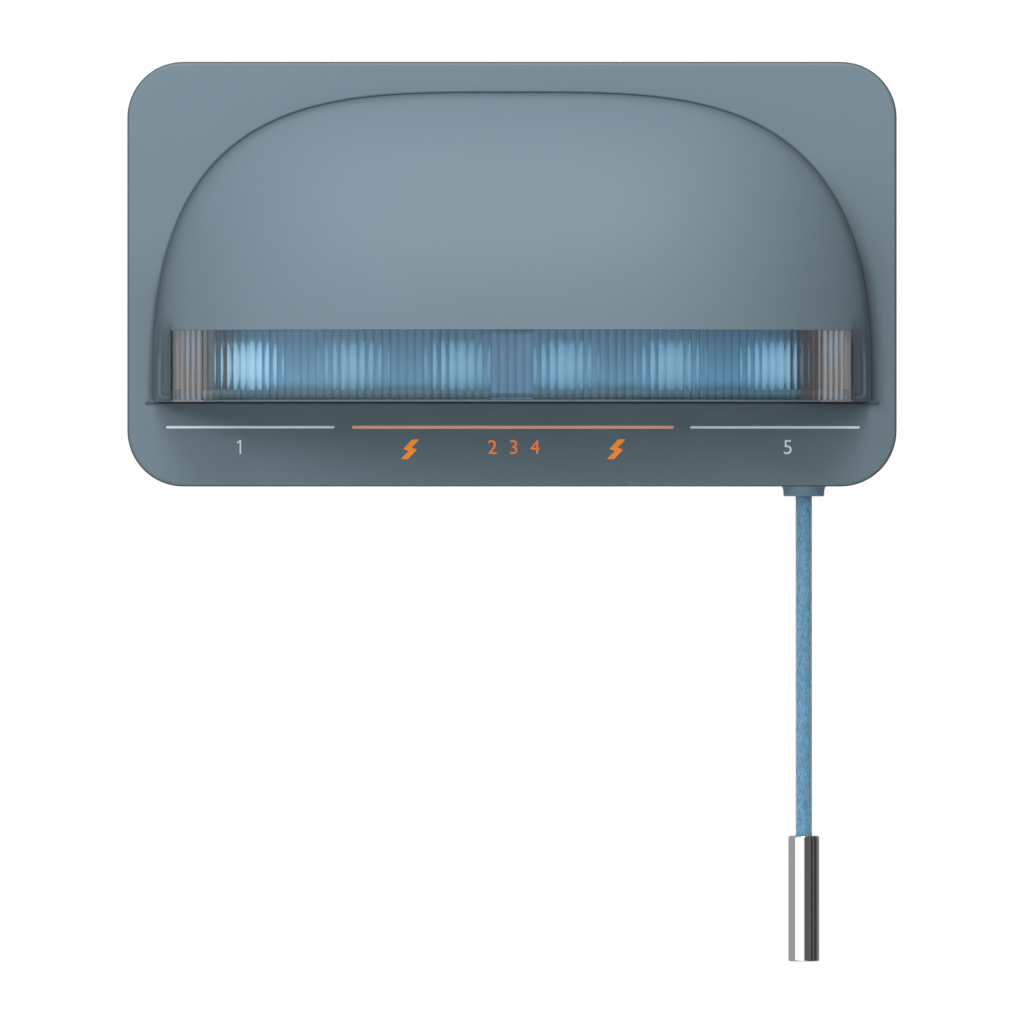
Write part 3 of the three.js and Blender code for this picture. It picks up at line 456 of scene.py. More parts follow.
def joined(name: str, pieces: Sequence[Piece]) -> Piece:
    """Merge pieces of one finish into one object.

    Args:
        name: The name of what they make.
        pieces: The pieces, which are removed.

    Returns:
        The one piece.
    """
    work = bmesh.new()
    for piece in pieces:
        work.from_mesh(piece.data)
        bpy.data.objects.remove(piece)
    mesh = bpy.data.meshes.new(name)
    work.to_mesh(mesh)
    work.free()
    mesh.set_sharp_from_angle(angle=math.radians(35))
    return linked(name, mesh)


# A screw head's grid, then its crown and its cross as shares of its height and its radius.
HEAD_AROUND, HEAD_RINGS = 96, 30
HEAD_CROWN, HEAD_ROUND = 0.35, 4
CROSS_HALF_WIDTH, CROSS_HALF_LENGTH, CROSS_DEPTH = 0.16, 0.62, 0.6
CROSS_SIDE_SOFT, CROSS_END_SOFT = 0.05, 0.12


def cross_screw(name: str, centre: tuple[float, float], radius: float, height: float, seat: float,
                up: bool) -> Piece:
    """A pan-head screw with a cross recess, on a polar grid.

    The head's crown is a shallow dome, and where the smaller of |u| and |v| is under the cross's
    half width and the larger under its half length, the surface drops by the recess's depth.

    Args:
        name: The piece's name.
        centre: Its X and Z, or its X and reach when it points up.
        radius: The head's radius.
        height: The head's height.
        seat: The place of the crown: a reach, or a Z when it points up.
        up: Whether the screw points up from below, or out from the wall.

    Returns:
        The piece.
    """
    turn = np.linspace(0, 2 * np.pi, HEAD_AROUND, endpoint=False)[None, :]
    share = np.linspace(0, 1, HEAD_RINGS)[:, None]
    u, v = radius * share * np.cos(turn), radius * share * np.sin(turn)
    small, large = np.minimum(np.abs(u), np.abs(v)), np.maximum(np.abs(u), np.abs(v))
    recess = np.minimum(risen(small, CROSS_HALF_WIDTH * radius, -CROSS_SIDE_SOFT * radius),
                        risen(large, CROSS_HALF_LENGTH * radius, -CROSS_END_SOFT * radius))
    crown = height * HEAD_CROWN * share**HEAD_ROUND + recess * height * CROSS_DEPTH
    rim, narrow = np.array([1, 0.5, 0.5, 0])[:, None], np.array([1, 1, 2, 2])[:, None] * height
    across, along = np.vstack([u, u[-1:] * rim]), np.vstack([v, v[-1:] * rim])
    deep = seat + np.vstack([crown, narrow + 0 * u[-1:]])
    sides = centre[0] + across, centre[1] + along
    rows = at(*sides, deep) if up else at(sides[0], deep, sides[1])
    return swept(name, rows, wrap_columns=True, sharp=35)


# Finishes


def linear(red: int, green: int, blue: int) -> Colour:
    """Turn a screen colour into light, by the usual sRGB curve.

    Args:
        red: Its red, from 0 to 255.
        green: Its green.
        blue: Its blue.

    Returns:
        The three shares of light, from 0 to 1.
    """
    shares = np.array([red, green, blue]) / 255
    light = np.where(shares <= 0.04045, shares / 12.92, ((shares + 0.055) / 1.055) ** 2.4)
    return tuple(float(share) for share in light)


def covering(colour: Colour) -> tuple[float, float, float, float]:
    """Add full cover to a colour, as a colour socket wants it."""
    return (*colour, 1.0)


class Graph:
    """A small helper that lays out shader nodes."""

    def __init__(self, tree: bpy.types.NodeTree) -> None:
        """Keep the tree that the nodes go in."""
        self.tree = tree

    def feed(self, node: Node, inputs: dict[str | int, object]) -> None:
        """Link sockets to a node's inputs, and set the inputs that get plain values.

        Args:
            node: The node.
            inputs: A value or a socket for each named input.
        """
        for key, value in inputs.items():
            if isinstance(value, Socket):
                self.tree.links.new(value, node.inputs[key])
            else:
                node.inputs[key].default_value = value

    def node(self, kind: str, inputs: dict[str | int, object] | None = None, **settings: object) -> Node:
        """Add a node.

        Args:
            kind: The node's type, without its "ShaderNode" start.
            inputs: A value or a socket for each named input.
            settings: Values of the node's own properties.

        Returns:
            The node.
        """
        made = self.tree.nodes.new("ShaderNode" + kind)
        for name, value in settings.items():
            setattr(made, name, value)
        self.feed(made, inputs or {})
        return made

    def math(self, how: str, first: object, second: object = 0.0) -> Socket:
        """Work out one number from two."""
        return self.node("Math", {0: first, 1: second}, operation=how).outputs[0]

    def times(self, first: object, second: object) -> Socket:
        """Multiply two numbers."""
        return self.math("MULTIPLY", first, second)

    def ramp(self, value: object, start: float, end: float, low: float = 0.0, high: float = 1.0,
             how: str = "LINEAR") -> Socket:
        """Carry a value from start..end over to low..high, and hold it there past both ends.

        Args:
            value: The value.
            start: Where it starts to change the result.
            end: Where it stops.
            low: The result at the start.
            high: The result at the end.
            how: The kind of step between.

        Returns:
            The result.
        """
        inputs = {"Value": value, "From Min": start, "From Max": end, "To Min": low, "To Max": high}
        return self.node("MapRange", inputs, interpolation_type=how).outputs["Result"]

    def spread(self, value: object, low: float, high: float) -> Socket:
        """Stretch a value from 0..1 to low..high."""
        return self.ramp(value, 0.0, 1.0, low, high)

    def noise(self, place: Socket, scale: object, detail: float) -> Socket:
        """Read cloudy noise at a place."""
        return self.node("TexNoise", {"Vector": place, "Scale": scale, "Detail": detail}).outputs[0]

    def scaled(self, colour: object, share: Socket) -> Socket:
        """Darken or brighten a colour."""
        return self.node("VectorMath", {0: colour, "Scale": share}, operation="SCALE").outputs[0]

    def mixed(self, share: Socket, first: object, second: object) -> Socket:
        """Mix two colours, with the share of the second."""
        return self.node("Mix", {"Factor": share, 6: first, 7: second}, data_type="RGBA").outputs[2]

    def value(self, name: str) -> Socket:
        """Read one of the piece's own named values."""
        return self.node("Attribute", attribute_name=name).outputs["Fac"]

    def place(self) -> Socket:
        """Read the place on the piece."""
        return self.node("TexCoord").outputs["Object"]

    def shine(self, colour: Colour) -> Socket:
        """A plain glow of a colour."""
        return self.node("Emission", {"Color": covering(colour), "Strength": 1.0}).outputs[0]


@dataclass(frozen=True)
class SharedGroup:
    """A node group that several finishes use, built the first time it is asked for."""

    name: str
    inputs: tuple[tuple[str, str, object], ...]
    outputs: tuple[tuple[str, str], ...]
    fill: Callable[[Graph, bpy.types.NodeOutputs, Node], None]

    def tree(self) -> bpy.types.NodeTree:
        """Build the group, or return the one that is there.

        Returns:
            The node group.
        """
        if self.name in bpy.data.node_groups:
            return bpy.data.node_groups[self.name]
        made = bpy.data.node_groups.new(self.name, "ShaderNodeTree")
        for label, kind, value in self.inputs:
            socket = made.interface.new_socket(label, in_out="INPUT", socket_type="NodeSocket" + kind)
            if value is not None:
                socket.default_value = value
        for label, kind in self.outputs:
            made.interface.new_socket(label, in_out="OUTPUT", socket_type="NodeSocket" + kind)
        entry, leave = made.nodes.new("NodeGroupInput"), made.nodes.new("NodeGroupOutput")
        self.fill(Graph(made), entry.outputs, leave)
        return made

    def laid(self, graph: Graph, inputs: dict[str | int, object]) -> bpy.types.NodeOutputs:
        """Put the group into a material, fed with values or sockets, and return its outputs."""
        return graph.node("Group", inputs, node_tree=self.tree()).outputs


SPECK_SHARE = 0.6


def fill_grain(graph: Graph, given: bpy.types.NodeOutputs, leave: Node) -> None:
    """Fine grain for the relief, and slow clouds that shift the tone and the gloss.

    Args:
        graph: The group's nodes.
        given: The group's inputs.
        leave: Its output node.
    """
    fine = graph.noise(given["Vector"], given["Grain Scale"], 2.0)
    centred = graph.math("SUBTRACT", graph.noise(given["Vector"], given["Cloud Scale"], 3.0), 0.5)
    speck = graph.math("SUBTRACT", fine, 0.5)
    dots = graph.times(speck, graph.times(given["Tone"], SPECK_SHARE))
    shade = graph.math("ADD", graph.math("ADD", graph.times(centred, given["Tone"]), dots), 1.0)
    gloss = graph.math("ADD", given["Roughness"], graph.times(centred, given["Roughness Spread"]))
    graph.feed(leave, {"Colour": graph.scaled(given["Colour"], shade), "Roughness": gloss, "Height": fine})


def fill_brushing(graph: Graph, given: bpy.types.NodeOutputs, leave: Node) -> None:
    """Hair-fine lines: noise that is stretched along one direction.

    Args:
        graph: The group's nodes.
        given: The group's inputs.
        leave: Its output node.
    """
    stretched = graph.node("VectorMath", {0: given["Vector"], 1: given["Stretch"]}, operation="MULTIPLY")
    lines = graph.noise(stretched.outputs[0], 1.0, 3.0)
    gloss = graph.math("ADD", given["Roughness"], graph.times(lines, given["Roughness Spread"]))
    graph.feed(leave, {"Roughness": gloss, "Height": lines})


GRAIN = SharedGroup(
    "moulded_grain",
    (("Vector", "Vector", None), ("Colour", "Color", None), ("Tone", "Float", 0.05),
     ("Grain Scale", "Float", 2500.0), ("Cloud Scale", "Float", 30.0), ("Roughness", "Float", 0.5),
     ("Roughness Spread", "Float", 0.1)),
    (("Colour", "Color"), ("Roughness", "Float"), ("Height", "Float")),
    fill_grain,
)
BRUSHING = SharedGroup(
    "fine_brushing",
    (("Vector", "Vector", None), ("Stretch", "Vector", None), ("Roughness", "Float", 0.1),
     ("Roughness Spread", "Float", 0.1)),
    (("Roughness", "Float"), ("Height", "Float")),
    fill_brushing,
)


@dataclass(frozen=True)
class Finish:
    """A moulded, painted or rubbery surface with fine grain and slow changes of tone and gloss; a piece's own
    darkening value takes off its colour as painted shade.
    """

    name: str
    colour: Colour
    roughness: float = 0.5
    tone: float = 0.05
    grain: float = 0.35
    relief: float = 0.01
    cloud: float = 30.0
    spread: float = 0.1
    specular: float = 0.5
    glow: float = 0.0
    # How deeply the piece's own darkening value takes off the colour: painted shade and painted shadow.
    seam: float = 0.0

    def material(self) -> bpy.types.Material:
        """Build the material, or return the one that is there.

        Returns:
            The material.
        """
        if self.name in bpy.data.materials:
            return bpy.data.materials[self.name]
        made = bpy.data.materials.new(self.name)
        made.use_nodes = True
        made.diffuse_color = covering(self.colour)
        self.dress(Graph(made.node_tree), made.node_tree.nodes["Principled BSDF"])
        return made

    def grained(self, graph: Graph) -> bpy.types.NodeOutputs:
        """Lay the shared grain over the finish's colour and gloss.

        Args:
            graph: The material's nodes.

        Returns:
            The grain's colour, roughness and height.
        """
        return GRAIN.laid(graph, {
            "Vector": graph.place(), "Colour": covering(self.colour), "Tone": self.tone,
            "Grain Scale": 1 / (self.grain * MM), "Cloud Scale": self.cloud,
            "Roughness": self.roughness, "Roughness Spread": self.spread,
        })

    def bumped(self, graph: Graph, height: Socket) -> Socket:
        """Turn a height from 0 to 1 into a normal, as deep as the finish's relief."""
        inputs = {"Height": height, "Distance": self.relief * MM, "Strength": 1.0}
        return graph.node("Bump", inputs).outputs[0]

    def dress(self, graph: Graph, shader: Node) -> None:
        """Feed the shader.

        Args:
            graph: The material's nodes.
            shader: Its Principled shader.
        """
        grain = self.grained(graph)
        # Painted shade: the piece's darkening value takes light off the colour.
        kept = graph.math("SUBTRACT", 1.0, graph.times(graph.value("seam"), self.seam))
        toned = graph.scaled(grain["Colour"], kept)
        graph.feed(shader, {
            "Base Color": toned, "Roughness": grain["Roughness"],
            "Normal": self.bumped(graph, grain["Height"]), "Specular IOR Level": self.specular,
        })
        if self.glow:
            graph.feed(shader, {"Emission Color": toned, "Emission Strength": self.glow})


@dataclass(frozen=True)
class LitLining(Finish):
    """A lining with painted lamp light: a glow that is strongest low down, can be lifted at its left, and
    fades out at its ends and its foot, where painted shade darkens its colour and the ends glow faintly in
    their own colour.
    """

    # The colour of the painted lamp light.
    painted_light: Colour = (0.1, 0.2, 0.3)
    dark_z: float = -39.2
    low: float = -34.5
    high: float = -18.0
    high_share: float = 0.35
    full_x: float = 86.0
    dark_x: float = 95.5
    dark_share: float = 0.3
    bright_x: float = -80.0
    even_x: float = -40.0
    boost: float = 0.0
    # The glow at the ends, also painted light.
    end: Colour = (0.045, 0.047, 0.048)

    def dress(self, graph: Graph, shader: Node) -> None:
        """Feed the shader.

        Args:
            graph: The material's nodes.
            shader: Its Principled shader.
        """
        super().dress(graph, shader)
        place = graph.node("SeparateXYZ", {0: graph.place()}).outputs
        # Painted light shaped by height, side and foot, a painted glow at the ends, and painted shade of the
        # base colour where the glow fades.
        rise = graph.ramp(place["Z"], self.low * MM, self.high * MM, 1.0, self.high_share)
        side = graph.ramp(graph.math("ABSOLUTE", place["X"]), self.full_x * MM, self.dark_x * MM, 1.0, 0.0)
        foot = graph.ramp(place["Z"], self.dark_z * MM, self.low * MM, how="SMOOTHSTEP")
        near = graph.ramp(place["X"], self.bright_x * MM, self.even_x * MM, 1.0 + self.boost, 1.0)
        middle = graph.scaled(self.painted_light, graph.times(graph.times(rise, side), graph.times(foot, near)))
        ends = graph.scaled(self.end, graph.times(graph.math("SUBTRACT", 1.0, side), foot))
        kept = graph.spread(graph.times(side, foot), self.dark_share, 1.0)
        glow = graph.node("VectorMath", {0: middle, 1: ends}, operation="ADD").outputs[0]
        graph.feed(shader, {
            "Base Color": graph.scaled(self.colour, kept), "Emission Color": glow, "Emission Strength": 1.0,
        })


@dataclass(frozen=True)
class LampGlow(Finish):
    """A lamp cover that shines most where it faces forwards."""

    heart: Colour = (0.4, 0.6, 0.8)
    rim: Colour = (0.15, 0.3, 0.45)
    narrow: float = 2.2

    def dress(self, graph: Graph, shader: Node) -> None:
        """Feed the shader.

        Args:
            graph: The material's nodes.
            shader: Its Principled shader.
        """
        super().dress(graph, shader)
        facing = graph.node("SeparateXYZ", {0: graph.node("TexCoord").outputs["Normal"]}).outputs["Y"]
        share = graph.math("POWER", graph.math("MAXIMUM", graph.times(facing, -1.0), 0.0), self.narrow)
        glow = graph.mixed(share, covering(self.rim), covering(self.heart))
        graph.feed(shader, {"Emission Color": glow, "Emission Strength": 1.0})


@dataclass(frozen=True)
class Metal(Finish):
    """Polished or plain metal with hair-fine lines along one direction."""

    stretch: tuple[float, float, float] = (3000.0, 3000.0, 120.0)

    def dress(self, graph: Graph, shader: Node) -> None:
        """Feed the shader.

        Args:
            graph: The material's nodes.
            shader: Its Principled shader.
        """
        lines = BRUSHING.laid(graph, {"Vector": graph.place(), "Stretch": self.stretch,
                                      "Roughness": self.roughness, "Roughness Spread": self.spread})
        graph.feed(shader, {
            "Base Color": self.grained(graph)["Colour"], "Roughness": lines["Roughness"],
            "Normal": self.bumped(graph, lines["Height"]), "Metallic": 1.0,
        })


@dataclass(frozen=True)
class ClearPlastic(Finish):
    """Tinted clear plastic, with painted shade in the valleys between its ribs and in some zones, and painted
    highlights that glow on some crests.
    """

    index: float = 1.45
    # The depth of the painted shade from the piece's darkening value, its floor, and the colour of its
    # painted highlights.
    painted_dimming: float = 0.45
    darkest: float = 0.1
    painted_gleam: Colour = (0.16, 0.15, 0.15)

    def dress(self, graph: Graph, shader: Node) -> None:
        """Feed the shader.

        Args:
            graph: The material's nodes.
            shader: Its Principled shader.
        """
        grain = self.grained(graph)
        # Painted shade from the darkening value, and painted highlights from the glow value.
        kept = graph.math("SUBTRACT", 1.0, graph.times(graph.value("painted_dimming"), self.painted_dimming))
        graph.feed(shader, {
            "Base Color": graph.scaled(grain["Colour"], graph.math("MAXIMUM", kept, self.darkest)),
            "Roughness": grain["Roughness"], "Normal": self.bumped(graph, grain["Height"]),
            "Transmission Weight": 1.0, "IOR": self.index,
            "Emission Color": covering(self.painted_gleam), "Emission Strength": graph.value("painted_gleam"),
        })


@dataclass(frozen=True)
class Braid(Finish):
    """Woven cord: painted shade darkens it where its strands and threads sink, its fleck value tints it, and
    its sheen is soft.
    """

    # The colour of the painted shade where strands and threads sink.
    shade: Colour = (0.05, 0.1, 0.16)
    pale: Colour = (0.3, 0.45, 0.52)
    pale_share: float = 0.9
    strand_tone: Span = (0.55, 1.0)
    thread_tone: Span = (0.8, 1.05)
    fleck_tone: Span = (0.8, 1.1)
    sheen_roughness: float = 0.35

    def dress(self, graph: Graph, shader: Node) -> None:
        """Feed the shader.

        Args:
            graph: The material's nodes.
            shader: Its Principled shader.
        """
        grain, fleck, thread = self.grained(graph), graph.value("fleck"), graph.value("thread")
        # Painted shade: where strands and threads sink, the colour turns to the shade colour.
        strand = graph.spread(graph.value("strand"), *self.strand_tone)
        depth = graph.times(strand, graph.spread(thread, *self.thread_tone))
        uneven = graph.scaled(grain["Colour"], graph.spread(fleck, *self.fleck_tone))
        rare = graph.times(graph.math("POWER", fleck, 3.0), self.pale_share)
        flecked = graph.mixed(rare, uneven, covering(self.pale))
        graph.feed(shader, {
            "Base Color": graph.mixed(depth, covering(self.shade), flecked),
            "Roughness": grain["Roughness"], "Normal": self.bumped(graph, thread),
            "Sheen Weight": 1.0, "Sheen Roughness": self.sheen_roughness,
            "Specular IOR Level": self.specular,
        })


def print_ink(name: str, colour: Colour, glow: float) -> Finish:
    """Flat printing ink whose glow is painted light, which keeps its colour bright in the shade under the
    hood.
    """
    return Finish(name, colour, roughness=0.5, tone=0.05, grain=0.15, relief=0.004, glow=glow)


def lamp_glow(name: str, heart: Colour, rim: Colour) -> LampGlow:
    """The glow of a lamp cover."""
    return LampGlow(name, linear(120, 150, 172), roughness=0.3, tone=0.05, heart=heart, rim=rim)


# Painted shade: the shell's darkening values, on creases, grooves, rims and beside the hood, take off up to
# 0.8 of its colour.
SHELL = Finish("satin_slate_plastic", linear(112, 130, 140), 0.55, specular=0.25, seam=0.8)
# Painted shade: the lip is a darker copy of the shell colour, standing for the shade under the hood's floor.
LIP = Finish("dim_slate_lip", linear(94, 114, 124), 0.55, specular=0.2)
# Painted shadow: dark blocks at the hood's feet stand for the shadow there.
PAINTED_SHADOW = Finish("dark_seam_line", linear(72, 88, 96), 0.6, specular=0.2)
# Painted light: the tray floor glows as if the lamps lit it, glows warm grey at its ends under the clamps,
# and its colour is darkened there as painted shade.
TRAY = LitLining("dark_slate_tray", linear(60, 78, 86), 0.5, specular=0.25, painted_light=linear(66, 100, 108),
                 dark_z=-41.0, low=-38.2, high_share=1.0, full_x=90.0, dark_x=99.0, dark_share=0.7,
                 end=(0.12, 0.115, 0.11))
COLLAR = Finish("slate_collar_plastic", linear(112, 137, 155), 0.45, specular=0.3)
WINDOW = ClearPlastic("clear_blue_plastic", linear(218, 236, 248), roughness=0.17, tone=0.02,
                      grain=1.2, relief=0.004, cloud=40.0, spread=0.05)
# Painted light: the chamber lining glows as if the lamps lit it, a little more at its left, and is darkened
# at its ends and foot as painted shade.
LINING = LitLining("blue_grey_lining", linear(100, 130, 150), 0.4, 0.06, painted_light=linear(92, 132, 154),
                   boost=0.22)
POST = Finish("grey_blue_post", linear(146, 181, 205), 0.5)
# Painted light: the clamps and their foot bands glow a little, so that they look evenly lit behind the
# window.
CLAMP = Finish("warm_grey_clamp", linear(146, 138, 134), 0.5, glow=0.22)
CLAMP_FOOT = Finish("grey_clamp_foot", linear(136, 134, 134), 0.55, glow=0.05)
DOME = lamp_glow("glowing_lamp_cover", linear(133, 169, 183), linear(94, 140, 164))
DOME_BRIGHT = lamp_glow("bright_lamp_cover", linear(182, 215, 231), linear(126, 168, 192))
DOME_LAST = lamp_glow("last_lamp_cover", linear(148, 183, 198), linear(104, 150, 175))
ODD_DOMES = {1: DOME_BRIGHT, 6: DOME_LAST}
EMITTER = Finish("lamp_chip", linear(225, 232, 240), 0.4, glow=0.6)
BOARD = Finish("green_circuit_board", linear(38, 92, 66), 0.35, tone=0.2, grain=0.8, relief=0.02)
BLACK = Finish("black_plastic", linear(44, 48, 52), 0.5)
WHITE = Finish("white_plastic", linear(222, 224, 224), 0.5)
LEAD = Finish("lead_jacket", linear(50, 52, 56), 0.45)
RUBBER = Finish("plug_rubber", linear(86, 106, 116), 0.75, tone=0.08, grain=0.25, relief=0.02)
FOAM = Finish("foam_tape", linear(228, 228, 222), 0.9, tone=0.1, grain=0.4, relief=0.08, specular=0.2)
CORD = Braid("blue_braid", linear(116, 176, 212), 0.8, tone=1.2, grain=0.5, relief=0.06, cloud=700.0,
             specular=0.1)
STEEL = Metal("plain_steel", linear(200, 201, 203), 0.22, 0.04, spread=0.14, relief=0.002,
              stretch=(900.0, 900.0, 900.0))
POLISHED = Metal("polished_steel", linear(250, 250, 251), 0.03, 0.02, spread=0.04, relief=0.0002)
CAN = Finish("cell_wrap", linear(60, 120, 168), 0.3, 0.1)
# Painted light: the inks glow so that they stay bright in the hood's shadow.
WHITE_INK = Finish("white_print", linear(196, 210, 220), 0.55, 0.05, 0.15, 0.004, glow=0.3)
ORANGE_INK = print_ink("orange_print", linear(238, 122, 48), 0.42)
AMBER_INK = print_ink("amber_print", linear(236, 134, 36), 0.44)
LINE_INK = print_ink("dull_orange_print", linear(200, 152, 126), 0.4)


def dress(piece: Piece, slot: Slot, finish: Finish, *nodes: str, body: Body = Body.UNIT) -> Piece:
    """Give a piece its finish, its body and the CAD nodes that it stands for.

    Args:
        piece: The piece.
        slot: The record's slot for its finish; not used.
        finish: Its finish.
        nodes: The CAD nodes that it replaces.
        body: The body that it rides on.

    Returns:
        The same piece.
    """
    piece.data.materials.clear()
    piece.data.materials.append(finish.material())
    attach(piece, body.value)
    if nodes:
        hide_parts(*nodes)
    LOG.info("%s rides on %s, %d faces", piece.name, body.value, len(piece.data.polygons))
    return piece


def paint_node(name: str, finish: Finish) -> None:
    """Give a CAD node that stays a better material through its object's slots.

    Args:
        name: The node's name.
        finish: Its finish.
    """
    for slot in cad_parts[name].material_slots:
        slot.link = "OBJECT"
        slot.material = finish.material()
    LOG.info("%s keeps its solid", name)


# Forms shared by several pieces


@dataclass(frozen=True)
class HoodForm:
    """The hood's dome: a height over a superellipse outline that is cut flat at its floor.

    At (x, z) the level is |x / half width|^3.5 + |rise / height|^2.8, and the dome reaches
    base + depth * (1 - level)^0.87 from the wall.
    """

    half_width: float = 116.4
    height: float = 100.2
    depth: float = 47.7
    floor: float = -41.5
    base: float = 16.3
    side_share: float = 3.5
    top_share: float = 2.8
    front_share: float = 0.87
    foot: float = 0.2

    def level(self, x: Points, z: Points, inset: float | Points = 0.0) -> Points:
        """Work out the level of the dome, drawn in by an inset or widened by a negative one.

        Args:
            x: The points' X.
            z: Their height.
            inset: How far the dome is drawn in.

        Returns:
            The level, which is 1 on the outline and less inside it.
        """
        rise = np.maximum(z - self.floor, 0)
        side = np.abs(x / (self.half_width - inset)) ** self.side_share
        return side + (rise / (self.height - inset)) ** self.top_share

    def over(self, x: Points, z: Points, inset: float = 0.0) -> Points:
        """How far the dome stands over its base at (x, z)."""
        left = np.clip(1 - self.level(x, z, inset), 0, 1)
        return (self.depth - inset) * left**self.front_share

    def outline(self, turn: Points, inset: float = 0.0) -> Points:
        """Find points of the outline: x = a |cos|^(2/3.5), rise = b |sin|^(2/2.8).

        Args:
            turn: The turns of the points.
            inset: How far the outline is drawn in.

        Returns:
            Rows of X and Z.
        """
        across, up = np.cos(turn), np.abs(np.sin(turn))
        x = (self.half_width - inset) * np.sign(across) * np.abs(across) ** (2 / self.side_share)
        return np.c_[x, self.floor + (self.height - inset) * up ** (2 / self.top_share)]

    def outward(self, line: Points) -> Points:
        """Find the outline's outward direction: the level's slope, made one long.

        Args:
            line: Points of the outline.

        Returns:
            The direction at each of them.
        """
        rise = np.maximum(line[:, 1] - self.floor, 0)
        side = self.side_share * np.sign(line[:, 0]) * np.abs(line[:, 0]) ** (self.side_share - 1)
        slope_x = side / self.half_width**self.side_share
        slope_z = self.top_share * rise ** (self.top_share - 1) / self.height**self.top_share
        slope = np.c_[slope_x, slope_z]
        return slope / np.linalg.norm(slope, axis=1, keepdims=True)

    def plan(self, half: float, inset: float, rise: float, count: int) -> Points:
        """Find the dome's front line as seen from above.

        Args:
            half: Where the line ends on both sides.
            inset: How far the dome is drawn in.
            rise: The height over the floor.
            count: Spans along the line.

        Returns:
            Rows of X and reach from left to right, denser towards the ends.
        """
        x = half * np.sin(np.linspace(-np.pi / 2, np.pi / 2, count + 1))
        return np.c_[x, self.base + self.over(x, np.full_like(x, self.floor + rise), inset)]


HOOD = HoodForm()
PANEL_HALF = (125.0, 69.0)
PANEL_CORNER = 18.2
WINDOW_HALF = 111.0
WINDOW_TOP = -18.3
WINDOW_RISE = WINDOW_TOP - HOOD.floor
CORD_X = 94.9
CORD_REACH = 8.0
CORD_AXIS = (CORD_X, CORD_REACH)


def past_panel(x: Points, z: Points) -> Points:
    """Measure how far points lie outside the panel's rounded outline.

    Args:
        x: The points' X.
        z: Their height.

    Returns:
        The distance, which is negative inside.
    """
    side = np.abs(x) - (PANEL_HALF[0] - PANEL_CORNER)
    tall = np.abs(z) - (PANEL_HALF[1] - PANEL_CORNER)
    corner = np.hypot(np.maximum(side, 0), np.maximum(tall, 0))
    return corner + np.minimum(np.maximum(side, tall), 0) - PANEL_CORNER


def between(first: Points, second: Points, share: Points) -> tuple[Points, Points]:
    """Lay a grid of points between two lines: first + (second - first) * share.

    Args:
        first: The line at a share of 0, as X and Z.
        second: The line at a share of 1.
        share: The grid's shares.

    Returns:
        The grid's X and its Z.
    """
    gap = second - first
    return first[None, :, 0] + gap[None, :, 0] * share, first[None, :, 1] + gap[None, :, 1] * share


